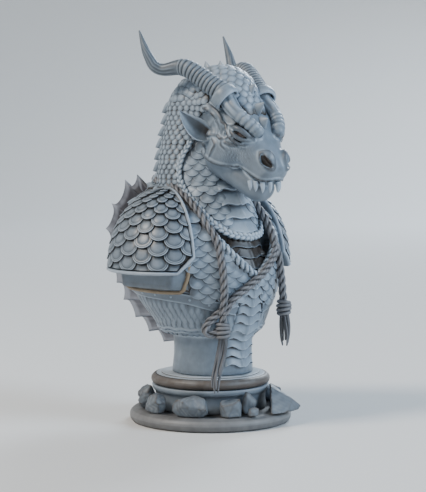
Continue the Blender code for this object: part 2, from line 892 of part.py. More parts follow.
def ringed(points, first, last, rings, swell):
    """A route whose radius swells in even rings between two of its points."""
    route = smooth_route(points, RINGED_STEPS)
    start, end = first * RINGED_STEPS, last * RINGED_STEPS
    made = []
    for index, (x, y, z, radius) in enumerate(route):
        share = (index - start) / (end - start)
        if 0 <= share <= 1:
            radius += swell * math.cos(2 * math.pi * rings * share)
        made.append((x, y, z, radius))
    return made


def stepped_rings(keel, half_width):
    """Rings of a row of belly plates: each plate swells to its lower edge and steps back."""
    rings = []
    for (y, z), (next_y, next_z) in zip(keel, keel[1:]):
        rings.append((z, y + KEEL_STEP, y + KEEL_DEPTH, half_width - 0.8))
        rings.append((next_z + 0.5, next_y - KEEL_STEP * 0.5, next_y + KEEL_DEPTH, half_width))
        rings.append((next_z, next_y, next_y + KEEL_DEPTH, half_width - 0.4))
    return rings


def head_forms():
    """Skull, muzzle, jaw and what is carved on them."""
    forms = [
        drawn_ellipsoid(*CRANIUM, segments=24, rings=16),
        loft(MUZZLE_RINGS, MUZZLE_AXIS_TILT, 2.4),
        loft(JAW_RINGS, JAW_AXIS_TILT, 2.3),
    ]
    for root, tip in BROW_SPIKES:
        forms.append(spike(root, tip, 3.4))
    for root, tip in CROWN_SPIKES:
        forms.append(spike(root, tip, 3.6))
    for side in (-1.0, 1.0):
        for middle, radii in (CHEEK, NOSTRIL, EYE):
            forms.append(drawn_ellipsoid(middle, radii, side))
        for points in (COLLAR, EAR, EAR_FOLD, UPPER_LID, LOWER_LID, LIP):
            forms.append(stroke(points, side))
        forms.append(stroke(ringed(BROW, 0, 4, BROW_RIBS, 0.35), side, steps=1))
        forms.append(stroke(ringed(HORN, 1, 5, HORN_RINGS, 0.4), side, steps=1))
        for x, y, z, length in TEETH:
            forms.append(stroke(((x, y, z, 1.5), (x * 0.98, y, z - length, 0.5)), side, steps=1))
    return forms


def trunk_forms():
    """Column, trunk, neck, shoulders, crest and the edges of the mail."""
    forms = [
        loft(upright_rings(COLUMN_RINGS)),
        loft(upright_rings(TRUNK_RINGS), squareness=2.15),
        loft(upright_rings(NECK_RINGS)),
        loft(upright_rings(stepped_rings(THROAT_KEEL, THROAT_HALF_WIDTH))),
        loft(upright_rings(stepped_rings(BELLY_KEEL, BELLY_HALF_WIDTH))),
        crest_form(),
    ]
    for side in (-1.0, 1.0):
        inset = drawn(PLATE_THICKNESS) - SHOULDER_SWELL
        shoulder = (PLATE_WIDTH - inset, PLATE_FRONT - inset, PLATE_RISE - inset)
        forms.append(
            drawn_ellipsoid(PLATE_CENTRE, shoulder, side, 32, 20, lower=SHOULDER_DROP)
        )
        for points in (NECKLINE, THROAT_CORD, ARMHOLE, STRAP):
            forms.append(stroke(points, side))
    return forms


def rope_forms():
    """The rope round the neck with its crossing end, hanging end, knots and tassels."""
    forms = []
    for route in (ROPE_ROUND_NECK, ROPE_CROSSING, ROPE_HANGING, ROPE_LOOP):
        forms.append(stroke([(*point, ROPE_RADIUS) for point in route]))
    for knot in KNOTS:
        forms.append(drawn_ellipsoid(knot, (KNOT_RADIUS, KNOT_RADIUS, KNOT_RADIUS)))
    for points in TASSELS:
        forms.append(stroke(points))
    return forms


def make_figure(collection, helpers, skin, rope_finish):
    """The bust, its two shoulder plates and its rope."""
    bust = add_object("dragon_bust", joined("dragon_bust", trunk_forms()), collection, skin)
    fuse(bust, SKIN_VOXEL, TRUNK_TRIANGLES_SHARE)
    head = add_helper("head", joined("head", head_forms()), helpers)
    fuse(head, SKIN_VOXEL, HEAD_TRIANGLES_SHARE)
    cut(bust, head, "UNION")
    top = space_within([((0, 0, COLUMN_BASE * MM), (0, 0, -1))])
    cut(bust, add_helper("above_ring", joined("above_ring", [top]), helpers), "INTERSECT")

    hollows = []
    for side in (-1.0, 1.0):
        hollows.append(drawn_ellipsoid(*NOSTRIL_HOLE, side=side, segments=8, rings=6))
        hollows.append(stroke(EAR_HOLLOW, side, steps=2))
    cut(bust, add_helper("head_hollows", joined("hollows", hollows), helpers))

    for name, side in (("shoulder_plate_right", -1.0), ("shoulder_plate_left", 1.0)):
        cut(bust, make_plate(name, side, collection, helpers, skin))

    rope = add_object("neck_rope", joined("neck_rope", rope_forms()), collection, rope_finish)
    fuse(rope, ROPE_VOXEL, ROPE_TRIANGLES_SHARE, smooth=1)
    rope_room = add_helper("rope_room", joined("rope_room", rope_forms()), helpers)
    fuse(rope_room, ROPE_VOXEL, ROPE_TRIANGLES_SHARE, smooth=1)
    swell = rope_room.modifiers.new("Gap", "DISPLACE")
    swell.mid_level = 0.0
    swell.strength = 2 * SEAT_GAP * MM
    cut(bust, rope_room)


def main():
    for old in list(bpy.data.objects):
        bpy.data.objects.remove(old)
    parts = bpy.data.collections.new("dragon_warrior_bust")
    helpers = bpy.data.collections.new("cutters")
    for collection in (parts, helpers):
        bpy.context.scene.collection.children.link(collection)

    skin = material("cast_skin", (0.30, 0.33, 0.35), 0.5)
    pale = material("pale_cast_stone", (0.36, 0.34, 0.32), 0.6)
    taupe = material("taupe_ring", (0.20, 0.18, 0.17), 0.55)
    stone = material("grey_rock", (0.24, 0.25, 0.26), 0.7)
    rope_finish = material("taupe_rope", (0.17, 0.15, 0.15), 0.8)

    make_plinth(parts, pale, skin, taupe)
    make_rocks(parts, helpers, stone)
    make_figure(parts, helpers, skin, rope_finish)


main()
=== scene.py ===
"""Looks of the cast resin bust of an armoured dragon warrior on its rock-edged plinth.

The figure is sculpted in millimetres. Its skin is one signed distance field on a grid of points,
built up from lofts, ellipsoids and tapered strokes, and scales, plates, horns and ropes are
surfaces of two parameters laid on that skin. A shape is its points, its faces and its relief:
the share, from the hollows at nought to the ridges at one, that the paint follows. The paint
puts wash and painted shade dark into the hollows and a painted highlight pale on the ridges.
"""

import math

import bpy
import numpy as np
import openvdb
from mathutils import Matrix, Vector


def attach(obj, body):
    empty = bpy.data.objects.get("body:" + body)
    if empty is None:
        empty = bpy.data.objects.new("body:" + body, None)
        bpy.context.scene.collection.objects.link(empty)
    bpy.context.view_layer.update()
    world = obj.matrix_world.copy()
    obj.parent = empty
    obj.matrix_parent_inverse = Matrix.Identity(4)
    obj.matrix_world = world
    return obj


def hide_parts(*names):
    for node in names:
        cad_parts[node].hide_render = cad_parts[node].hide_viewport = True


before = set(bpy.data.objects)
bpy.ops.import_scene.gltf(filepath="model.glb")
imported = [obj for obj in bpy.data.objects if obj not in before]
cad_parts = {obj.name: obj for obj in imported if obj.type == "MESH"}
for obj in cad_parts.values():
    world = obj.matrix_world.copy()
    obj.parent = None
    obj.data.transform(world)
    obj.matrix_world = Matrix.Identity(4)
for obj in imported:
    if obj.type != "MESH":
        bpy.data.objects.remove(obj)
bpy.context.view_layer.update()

MM = 0.001
FIGURE_SHIFT = -0.2  # from the drawn heights to the real ones
SIDEWAYS = (1, 0, 0)
DOWN = (0, 0, -1)
DOWN_BACK = (0, 0.3, -1)
# Nodes that the pieces stand for
BUST = ("dragon_bust",)
ROPE = ("neck_rope",)

# Blocks that are sculpted in, by two corners, their grid steps, and the distance that an
# empty grid holds
HEAD_BLOCK = ((-27, -62, 126), (27, 24, 216))
BODY_BLOCK = ((-48, -60, 26), (48, 66, 216))
NECK_OPENING_BLOCK = ((-30, -60, 88.5), (30, 8, 142))
PLATE_BLOCK = ((18.0, -30.0, 88.0), (62.5, 49.0, 142.0))
HEAD_STEP = 0.58
BODY_STEP = 1.0
PLATE_STEP = 0.8
STONE_STEP = 0.55
FAR_OUT = 9.0

# Rings of the figure: height, front, back, half width
COLUMN_RINGS = (
    (24.0, -26.0, 22.4, 24.2),
    (31.0, -26.0, 22.4, 24.2),
    (42.0, -25.6, 21.4, 23.4),
    (52.0, -26.6, 22.0, 24.0),
    (66.0, -31.0, 24.0, 28.0),
    (84.0, -34.6, 30.0, 30.0),
)
TRUNK_RINGS = (
    (53.6, -26.0, 25.0, 27.0),
    (56.0, -29.0, 28.0, 31.0),
    (62.0, -31.0, 31.0, 34.5),
    (70.0, -33.0, 38.0, 39.0),
    (78.0, -35.0, 44.5, 42.0),
    (86.0, -36.5, 50.0, 43.5),
    (97.0, -37.5, 56.0, 44.5),
    (108.0, -36.0, 59.0, 44.5),
    (118.0, -33.0, 57.5, 42.5),
    (127.0, -27.5, 52.0, 38.0),
    (134.0, -22.5, 45.0, 33.0),
    (140.0, -18.5, 38.5, 28.5),
)
NECK_RINGS = (
    (112.0, -28.0, 45.0, 24.0),
    (123.0, -25.4, 45.0, 26.0),
    (130.0, -22.0, 41.0, 26.0),
    (139.0, -18.4, 36.5, 25.0),
    (146.0, -16.0, 34.5, 24.4),
    (154.0, -14.0, 33.5, 23.5),
    (162.0, -12.0, 32.5, 22.5),
    (170.0, -12.0, 31.0, 21.5),
    (179.0, -13.0, 28.5, 20.5),
    (188.0, -14.0, 27.0, 20.0),
    (196.0, -12.0, 23.6, 18.2),
    (203.0, -9.0, 17.0, 14.0),
)
THROAT_RINGS = (
    (86.0, -35.6, 10.0, 19.0),
    (97.4, -34.0, 10.0, 20.0),
    (106.4, -31.8, 10.0, 22.0),
    (114.6, -29.6, 10.0, 23.0),
    (122.6, -26.2, 10.0, 24.0),
    (130.4, -22.6, 10.0, 23.5),
    (140.0, -19.0, 10.0, 22.0),
)
TRUNK_SQUARENESS = 2.15
# Rings of the face: middle y, middle z, half width, half depth, seen square to their own axis
MUZZLE_AXIS_TILT = 41.0
MUZZLE_RINGS = (
    (-20.0, 180.0, 17.5, 17.5),
    (-32.0, 169.0, 17.0, 14.0),
    (-40.0, 160.5, 14.6, 11.5),
    (-45.0, 154.0, 12.4, 10.2),
    (-48.2, 150.2, 11.0, 9.4),
    (-50.8, 147.2, 9.6, 7.8),
    (-52.4, 145.4, 7.6, 5.6),
)
JAW_AXIS_TILT = 58.0
JAW_RINGS = (
    (-14.0, 157.0, 16.5, 10.0),
    (-28.0, 148.6, 14.0, 8.4),
    (-37.0, 142.4, 11.4, 7.6),
    (-43.0, 138.6, 8.4, 6.8),
    (-46.6, 137.2, 5.6, 4.6),
)
# Ellipsoids of the head: middle and radii
CRANIUM = ((0.0, -9.0, 190.0), (18.5, 24.0, 21.5))
CHEEK = ((13.0, -23.0, 163.5), (9.0, 14.0, 12.0))
NOSTRIL = ((7.2, -51.6, 156.8), (3.8, 5.2, 5.2))
EYE = ((12.8, -37.6, 172.0), (6.2, 6.2, 6.2))
GAZE = (0.62, -0.78, 0.02)

# Tapered strokes of the left side: each point is x, y, z, radius
BROW = (
    (15.0, -28.0, 193.0, 4.6),
    (16.0, -32.4, 188.2, 4.5),
    (16.0, -36.4, 184.4, 4.1),
    (13.6, -41.8, 179.4, 3.9),
    (10.2, -45.6, 175.0, 3.9),
    (7.9, -47.3, 172.2, 3.6),
    (7.0, -47.8, 171.0, 1.6),
)
HORN = (
    (14.8, -29.2, 190.6, 4.4),
    (15.7, -27.2, 194.8, 5.4),
    (18.6, -20.3, 199.8, 5.6),
    (21.8, -12.6, 205.5, 5.4),
    (24.4, -6.4, 209.6, 5.1),
    (25.9, 0.0, 210.8, 4.6),
    (30.0, 9.0, 209.6, 3.6),
    (33.0, 13.5, 211.7, 3.4),
    (34.5, 16.7, 216.9, 2.9),
    (35.2, 19.5, 222.7, 2.2),
    (35.3, 24.2, 233.0, 0.5),
)
EAR_ROOT = (
    (16.0, -20.0, 170.0, 2.0),
    (18.4, -18.6, 172.4, 2.2),
)
LIP = (
    (20.4, -12.0, 161.4, 1.3),
    (20.8, -21.0, 155.6, 1.2),
    (18.6, -30.0, 152.4, 0.9),
    (15.4, -38.6, 149.6, 0.8),
    (12.4, -45.6, 146.4, 0.8),
    (8.0, -51.4, 144.8, 0.8),
    (2.6, -54.4, 144.2, 0.8),
    (-1.0, -54.8, 144.0, 0.8),
)
EAR_FOLD = (
    (18.6, -6.0, 187.4, 0.6),
    (17.8, -14.0, 187.0, 1.6),
    (18.0, -21.0, 184.6, 1.9),
    (18.0, -27.0, 178.6, 1.9),
    (18.2, -28.4, 171.0, 1.5),
)
EAR_BANDS = (
    ((18.6, -5.0, 188.6, 0.4), (18.4, -14.5, 189.6, 1.1), (20.0, -24.6, 186.6, 1.2),
     (20.8, -30.2, 179.4, 1.1), (19.8, -31.0, 170.6, 0.8)),
    ((19.4, -9.0, 184.6, 0.5), (18.8, -16.4, 183.0, 0.9), (19.8, -21.0, 179.4, 1.1),
     (20.4, -24.4, 175.2, 1.0), (20.4, -26.6, 170.0, 0.7)),
    ((18.8, -13.4, 186.8, 0.9), (19.2, -15.6, 186.4, 1.3), (19.4, -17.4, 185.4, 0.9)),
    ((19.6, -19.4, 184.2, 0.9), (19.8, -21.4, 182.8, 1.2), (20.0, -22.8, 181.2, 0.9)),
    ((20.2, -24.6, 179.4, 0.8), (20.4, -25.8, 177.2, 1.1), (20.4, -26.6, 174.8, 0.8)),
)
TENDRILS = (
    ((17.0, -9.0, 171.0, 0.7), (20.6, -17.0, 171.2, 1.2), (20.4, -25.0, 171.0, 1.2),
     (20.4, -29.0, 168.6, 1.1), (20.6, -29.4, 165.6, 1.0), (20.0, -31.4, 163.2, 0.5)),
    ((15.0, -5.0, 169.4, 0.8), (18.0, -9.0, 167.2, 1.3), (21.2, -17.0, 164.0, 1.2),
     (21.0, -16.0, 159.8, 0.5)),
    ((21.0, -22.0, 169.2, 0.7), (21.6, -25.0, 165.8, 1.1), (21.6, -22.8, 161.8, 1.2),
     (21.0, -19.6, 158.6, 0.5)),
    ((20.6, -27.4, 169.6, 0.6), (19.6, -30.4, 168.6, 1.1), (18.0, -32.6, 170.4, 0.9)),
    ((19.8, -31.6, 167.0, 1.5), (18.2, -34.8, 165.6, 1.5), (16.6, -37.6, 164.8, 0.8)),
)
NOSTRIL_RIM = (
    (10.2, -50.6, 161.2, 1.0),
    (11.2, -52.2, 157.0, 1.2),
    (8.8, -55.4, 152.4, 1.2),
    (5.4, -56.8, 151.8, 1.0),
    (4.6, -56.2, 156.0, 1.1),
    (6.6, -54.0, 161.4, 1.2),
    (10.2, -50.6, 161.2, 1.0),
)
NOSTRIL_SLIT = (
    (9.8, -51.4, 159.0, 0.8),
    (8.6, -53.0, 156.4, 2.0),
    (6.8, -55.2, 153.4, 1.0),
)
UPPER_LID = (
    (16.6, -32.0, 176.0, 1.1),
    (18.1, -37.6, 175.4, 1.6),
    (17.3, -41.7, 174.0, 1.6),
    (14.6, -44.3, 171.2, 1.5),
    (10.6, -45.7, 168.2, 1.0),
)
LOWER_LID = (
    (17.2, -33.0, 175.6, 1.0),
    (19.1, -36.1, 172.8, 1.3),
    (18.7, -39.3, 170.2, 1.3),
    (15.5, -42.5, 168.2, 1.3),
    (10.6, -45.5, 167.9, 0.9),
)
LID_FOLD = (
    (18.0, -31.4, 176.6, 0.9),
    (19.6, -34.0, 171.4, 1.1),
    (18.6, -38.0, 167.4, 1.1),
    (14.6, -42.2, 165.6, 1.0),
    (9.0, -46.6, 167.0, 0.7),
)
NECKLINE = (
    (0.5, -37.6, 89.6, 2.3),
    (4.0, -37.4, 91.0, 2.3),
    (15.0, -35.0, 100.0, 2.3),
    (23.0, -29.6, 109.6, 2.2),
    (25.6, -23.4, 117.0, 1.8),
    (25.0, -17.0, 122.0, 1.0),
)
THROAT_CORD = (
    (-0.5, -29.0, 110.5, 2.2),
    (11.0, -26.0, 113.0, 2.2),
    (19.0, -19.0, 121.0, 2.1),
    (23.0, -8.0, 133.0, 2.0),
    (24.0, 1.0, 146.0, 1.9),
    (22.4, 1.0, 158.0, 1.8),
    (21.0, -4.0, 168.0, 1.6),
)
ARMHOLE = (
    (36.6, -20.4, 104.0, 1.4),
    (37.6, -18.8, 95.0, 1.5),
    (38.2, -17.2, 88.0, 1.5),
    (39.6, -12.6, 84.0, 1.5),
    (42.0, -3.0, 82.4, 1.5),
    (43.0, 10.0, 83.2, 1.5),
    (39.0, 28.0, 86.5, 1.5),
    (33.0, 38.0, 92.0, 1.4),
)
STRAP = (
    (10.5, -32.0, 69.4, 2.4),
    (17.0, -29.4, 71.4, 2.4),
    (25.4, -24.0, 74.0, 2.6),
    (34.0, -15.6, 77.4, 2.6),
    (40.4, 0.0, 79.4, 2.6),
    (40.0, 20.0, 80.4, 2.6),
    (30.0, 37.0, 81.4, 2.6),
    (14.0, 45.4, 82.0, 2.6),
)
# Groove under the lip, and how far the skin under the brow lies inside the brow itself
LIP_GROOVE_DOWN = 1.0
LIP_GROOVE_RADIUS = 0.55
UNDER_BROW_INSET = 1.2
# Wrinkles of the cheek: spacing along and down it, and rise
WRINKLE_ALONG = 1.5
WRINKLE_DOWN = 2.1
WRINKLE_RISE = 0.08

# Mail's neck opening: height and half width, and the depth that it is cut to
NECK_OPENING = (
    (88.5, 0.2),
    (91.0, 4.0),
    (100.0, 15.0),
    (110.0, 23.5),
    (121.5, 28.0),
    (132.0, 28.6),
)
NECK_OPENING_BACK = 6.0
# Skin's top inside the head and foot inside the ring, and the heights, reaches and depths
# between which it is bare or deep in wash
BODY_TOP = 186.0
BODY_FOOT = 30.0
COLUMN_TOP = 57.0
NECK_HOLLOW_HEIGHTS = (86.0, 112.0)
ARMHOLE_HEIGHTS = (82.0, 95.0)
ARM_FACE_OUT = 30.0
ARM_FACE_FRONT = -20.0
# Rounds of evening out that the relief is measured from, and how strongly it shows
SKIN_ROUNDS = 3
SKIN_CONTRAST = 1.5
# Where the scales give way: half width between the horns by depth and between the brows
# by height, and depth of the plaited cord by height
HORN_GAP = ((-30.0, 9.5), (-10.0, 16.5), (6.0, 20.0), (20.0, 22.0))
BROW_GAP = ((172.0, 2.0), (176.0, 4.5), (180.0, 8.0), (186.0, 10.0), (192.0, 11.0), (198.0, 30.0))
CORD_DEPTH = (
    (110.0, -27.0),
    (121.0, -19.0),
    (133.0, -8.0),
    (146.0, 1.0),
    (158.0, 1.0),
    (168.0, -4.0),
    (180.0, -7.0),
    (188.0, -15.0),
)
# Fields of scales: heights of the rows as first, end and step, spacing round, and half
# width, half length and rise of a scale. The crown's rows and spacing are in degrees.
# Gaps keep scales off the cords, neck, spine, straps behind and in front of the arm and,
# below a height, the armholes
NAPE_ROWS = (113.0, 204.0, 2.9)
NAPE_SPACING = 4.7
NAPE_SCALE = (2.65, 2.95, 1.1)
NAPE_CORD_GAP = 1.9
NAPE_TOP = 184.0
THROAT_ROWS = (118.0, 167.0, 3.3)
THROAT_SPACING = 7.4
THROAT_SCALE = (4.3, 4.3, 1.3)
THROAT_CORD_GAP = 1.4
THROAT_BARE_HALF = 10.5
SPINE_ROWS = (127.0, 192.0, 7.0)
SPINE_TURNS = (-45.0, 0.0, 45.0)
SPINE_SCALE = (2.9, 4.2, 4.2)
CROWN_CENTRE = (0, -10, 184)
CROWN_FALLS = (4, 152, 8.6)
CROWN_SPACING = 24.0
CROWN_SCALE = (4.0, 4.0, 1.4)
CROWN_BACK = 11.0
CROWN_FOOT = 178.0
MAIL_ROWS = (72.6, 136.0, 3.0)
MAIL_SPACING = 10.4
MAIL_SCALE = (5.4, 4.8, 1.6)
MAIL_NECK_GAP = 2.4
MAIL_BACK_GAP = 2.0
MAIL_STRAP_GAPS = (4.0, 5.6)
MAIL_ARMHOLE_GAPS = ((92.0, 6.0), (96.0, 4.6))
FEATHER_ROWS = (57.0, 82.0, 2.9)
FEATHER_SPACING = 4.0
FEATHER_SCALE = (2.2, 3.7, 0.5)
FEATHER_STRAP_GAP = 2.8
# Foot of a scale's edge against its rise, sunk in the skin
SCALE_FOOT = -0.6
# Beads round the trunk's lower edge: height and radius
TRUNK_LIPS = ((58.2, 1.0), (56.2, 0.8))

# Forms of the middle plane: depth and height of roots and tips, or along the keel
BROW_SPIKES = (
    ((-30.0, 195.0), (-36.4, 200.8)),
    ((-37.4, 185.6), (-43.8, 190.0)),
    ((-42.6, 178.4), (-46.6, 180.8)),
)
CROWN_SPIKES = (
    ((-19.0, 205.0), (-20.0, 210.6)),
    ((-9.0, 209.4), (-8.0, 215.4)),
    ((2.0, 208.4), (4.4, 215.6)),
    ((11.0, 203.6), (15.4, 209.6)),
)
THROAT_KEEL = (
    (-16.6, 146.0),
    (-19.0, 139.0),
    (-22.6, 130.4),
    (-26.2, 122.6),
    (-30.2, 114.6),
)
CHEST_KEEL = ((-30.2, 112.0), (-32.0, 106.0), (-33.6, 100.0), (-35.0, 94.0))
BELLY_KEEL = (
    (-38.6, 88.0),
    (-37.8, 82.8),
    (-36.6, 77.6),
    (-34.6, 72.4),
    (-32.6, 67.2),
    (-30.6, 62.0),
    (-29.0, 56.8),
    (-27.8, 51.6),
    (-27.0, 46.4),
    (-26.8, 41.2),
    (-27.2, 36.0),
)
# Half widths of the keel plates by height, and their stations across and down
THROAT_PLATE_HALF = ((110.0, 13.5), (146.0, 12.0))
CHEST_PLATE_HALF = ((80.0, 12.0), (94.0, 13.0), (110.0, 16.0))
COLUMN_PLATE_HALF = (
    (36.0, 13.3),
    (50.0, 13.0),
    (60.0, 11.6),
    (70.0, 10.0),
    (84.0, 7.6),
    (88.0, 2.0),
)
KEEL_ACROSS = (-1, -0.97, -0.85, -0.65, -0.45, -0.28, -0.16, -0.1, -0.05, 0)
KEEL_DOWN = (-0.34, -0.32, 0, 0.3, 0.55, 0.75, 0.9, 0.97, 1.0, 1.02)
# Fin: each spine's tip and the valley after it, and its root down the back
CREST_START = ((44.0, 136.0), (53.0, 136.6))
CREST_SPINES = (
    ((56.5, 141.0), (60.5, 137.0)),
    ((66.0, 147.0), (70.0, 139.5)),
    ((77.5, 143.5), (81.0, 130.5)),
    ((90.5, 128.0), (88.5, 119.0)),
    ((96.5, 111.5), (90.0, 103.5)),
    ((95.5, 92.5), (86.5, 88.0)),
    ((86.0, 77.0), (77.5, 75.0)),
    ((79.5, 66.5), (71.0, 65.0)),
    ((68.0, 56.2), (59.0, 56.4)),
    ((55.5, 48.2), (46.5, 50.6)),
    ((42.0, 43.0), (33.0, 45.4)),
)
CREST_ROOT = ((34, 136), (30, 128), (30, 110), (28, 90), (26, 74), (22, 60), (20, 46))
CREST_SCOOP_STEPS = 14
# Teeth: x, y, z of the root and length
TEETH = (
    (12.0, -43.9, 144.2, 4.6),
    (9.9, -46.2, 143.8, 5.0),
    (6.9, -48.9, 143.4, 5.4),
    (3.2, -51.3, 143.2, 5.0),
)

# Horns, brows and cuffs. The rings end at one of the points, and the profile is radius,
# height and relief: a painted highlight pale on the cuff's roll and painted shade dark against
# the horn
HORN_RINGS = 13
HORN_BEND = 5
BROW_RIB_SPACING = 3.3
CUFF_ROOT = (15.2, -29.2, 191.6)
CUFF_AXIS = (1.6, 4.4, 4.6)
CUFF_PROFILE = (
    (1.0, 3.6, 0.0),
    (4.8, 3.6, 0.0),
    (5.6, 1.6, 0.05),
    (6.1, 0.2, 0.3),
    (6.7, -0.6, 0.75),
    (7.6, -0.4, 0.8),
    (8.1, 0.6, 0.6),
    (8.3, 2.4, 0.52),
    (7.9, 4.6, 0.5),
    (7.3, 6.0, 0.6),
    (6.6, 6.6, 0.35),
    (5.6, 6.8, 0.05),
    (1.0, 6.8, 0.05),
)
# Ear's root and tip, the bend of its middle line, and the way its cup faces
EAR_LINE = ((18.6, -19.5, 171.6), (33.8, -8.4, 185.6), (0.3, -0.8, -2.9))
EAR_FACING = (0.42, -0.84, 0.3)

# Shoulder plates
PLATE_CENTRE = (30.0, 6.0, 94.5)
PLATE_WIDTH = 30.8
PLATE_FRONT = 31.3
PLATE_BACK = 38.3
PLATE_RISE = 44.8
PLATE_WALL = 2.9
PLATE_LOWER_EDGE = 91.0
PLATE_INNER_LINE = ((30.3, 0.0, 91.0), (-1.0, -0.266, 0.0))
PLATE_CORNER_CUT = ((46.2, -19.2, 91.0), (-0.61, -0.28, -0.745))
PLATE_SEAT_INSET = 3.4
PLATE_SEAT_FOOT = 82.0
PLATE_SEAT_FRONT = -15.0
# Plate's moulding: distance in from its edge, and rise or relief
PLATE_RIM_WIDTH = 3.2
PLATE_MOULDING = (
    (0.0, 0.5),
    (0.4, 1.3),
    (0.9, 1.8),
    (1.4, 1.9),
    (1.9, 1.7),
    (2.4, 1.2),
    (2.8, -0.3),
    (3.2, -0.3),
    (3.6, 0.0),
)
# Painted highlight on the moulding's band and painted shade in the groove inside it
PLATE_MOULDING_SHADE = (
    (0.0, 0.55),
    (0.5, 0.8),
    (1.4, 0.9),
    (2.1, 0.7),
    (2.5, 0.3),
    (2.8, 0.05),
    (3.4, 0.05),
    (4.0, 0.2),
)
# Plate's scales: rows in a span of degrees, scales in a row, and their size against the
# half pitch round, the pitch down and the drawn rise
PLATE_SCALE_ROWS = 17
PLATE_SCALE_SPAN = 98.0
PLATE_SCALES_ROUND = 10
PLATE_TOP_ROWS = (4, 6, 8, 9)
PLATE_SCALE_WIDTH = 0.66
PLATE_SCALE_LENGTH = 1.4
PLATE_SCALE_RISE = 1.9
PLATE_SCALE_SINK = 0.85
# Share of a pitch that the first row starts above, how far the last scales may reach over
# the moulding's foot, and the gap at which they are flattened against it
PLATE_SCALE_START = 0.45
PLATE_SCALE_REACH = 1.4
PLATE_SCALE_GAP = 0.2

# Ropes and straps
ROPE_RADIUS = 2.4
ROPE_LAY = 15.0
KNOT_RADIUS = 4.6
TASSEL_STRANDS = 11
STRAP_HALF_WIDTH = 3.4
STRAP_HALF_THICKNESS = 1.1
RIVET_RADIUS = 0.8
ROPE_ROUND_NECK = (
    (20.0, -34.0, 107.0),
    (20.8, -27.6, 118.4),
    (20.6, -18.4, 129.6),
    (22.4, -8.0, 138.0),
    (23.6, 8.0, 143.4),
    (18.0, 28.0, 145.2),
    (7.0, 37.6, 145.4),
    (-7.0, 37.6, 145.4),
    (-18.0, 28.0, 144.6),
    (-24.0, 8.0, 141.4),
    (-26.4, -10.6, 131.8),
    (-27.2, -22.6, 121.0),
    (-25.6, -30.4, 111.0),
    (-25.0, -34.0, 98.4),
    (-24.4, -35.4, 87.7),
    (-23.4, -34.6, 76.3),
    (-22.4, -32.4, 65.0),
    (-21.8, -31.6, 59.0),
)
ROPE_CROSSING = (
    (20.0, -34.0, 107.0),
    (15.0, -37.6, 100.0),
    (3.6, -41.0, 91.7),
    (-8.0, -40.4, 84.4),
    (-19.0, -37.0, 76.5),
    (-22.4, -33.6, 68.0),
)
ROPE_HANGING = (
    (20.0, -34.0, 107.0),
    (21.4, -35.4, 100.4),
    (23.4, -36.0, 88.8),
    (24.6, -36.4, 76.7),
    (25.2, -36.8, 68.6),
)
ROPE_LOOP = (
    (-21.8, -31.6, 70.0),
    (-25.6, -29.6, 66.8),
    (-29.4, -26.6, 62.0),
    (-30.0, -26.4, 57.6),
    (-26.8, -28.6, 56.6),
    (-21.8, -31.6, 59.0),
)
TASSELS = (
    ((-21.8, -31.8, 58.6, 3.2), (-21.4, -31.4, 50.0, 4.2), (-23.6, -31.0, 40.0, 3.8),
     (-27.6, -32.0, 30.0, 3.0), (-28.0, -32.4, 21.6, 1.6)),
    ((25.2, -36.8, 68.8, 3.2), (25.6, -37.0, 61.0, 4.2), (25.8, -37.2, 54.0, 3.6),
     (25.8, -37.2, 45.0, 1.4)),
)
KNOTS = ((-21.8, -31.8, 58.6), (25.2, -36.8, 68.8))

# Plinth. Profiles are radius, height, rounding and relief; the relief puts a painted highlight
# on the foot's rim and the ring's step edges and painted shade in the ring's grooves
FOOT_PROFILE = (
    (3.0, 0.0, 0, 0.5),
    (47.4, 0.0, 1.0, 0.4),
    (48.7, 2.2, 1.6, 0.6),
    (48.7, 5.4, 2.2, 0.7),
    (45.6, 8.0, 2.0, 0.6),
    (36.0, 8.0, 0.5, 0.3),
    (3.0, 8.0, 0, 0.3),
)
DRUM_PROFILE = (
    (3.0, 8.3, 0, 0.3),
    (34.0, 8.3, 0.4, 0.2),
    (33.1, 13.0, 1.0, 0.45),
    (33.2, 17.8, 1.5, 0.4),
    (35.0, 19.6, 1.0, 0.6),
    (35.4, 22.2, 0.6, 0.8),
    (3.0, 22.2, 0, 0.3),
)
RING_PROFILE = (
    (3.0, 22.5, 0, 0.2),
    (34.4, 22.5, 0.8, 0.2),
    (35.8, 24.2, 1.4, 0.45),
    (35.8, 26.6, 1.4, 0.5),
    (34.0, 28.3, 0.8, 0.5),
    (32.8, 28.3, 0.3, 0.1),
    (32.4, 28.7, 0.3, 0.95),
    (29.7, 28.8, 0.3, 0.95),
    (29.5, 28.8, 0.1, 0.1),
    (29.2, 29.5, 0.3, 0.95),
    (26.4, 29.5, 0.3, 0.95),
    (3.0, 29.5, 0, 0.9),
)
# Rocks: flakes knocked off each, its bedding and roughness, and its fit on drum and foot
STONES = 12
STONE_FLAKES = 9
STONE_BED = 3.1
STONE_ROUGHNESS = (5.2, 2.3)
STONE_CLEAR_OF_DRUM = 35.6
STONE_FOOT_REACH = 48.9
STONE_ON_FOOT = 8.35

# Paint: size and strength of its stains and the grain of its primer, in mm, and the
# relief at which it turns from hollow to body to ridge
RESIN_IOR = 1.5
STAIN_SIZE = 6.0
STAIN_DEPTH = 0.12
PRIMER_GRAIN = 0.35
HOLLOW_RELIEF = 0.12
BODY_RELIEF = 0.48
RIDGE_RELIEF = 0.88

# Camera and studio, in metres, and the picture in its own pixels
CAMERA_AWAY = 0.9
CAMERA_HEIGHT = 0.1665
CAMERA_LENS = 109.8
CAMERA_SENSOR = 36.0
CAMERA_SHIFT_PX = 2.5
PHOTO_HEIGHT_PX = 492
PHOTO_FOCAL_PX = 1500
HORIZON_ABOVE_MIDDLE_PX = 103
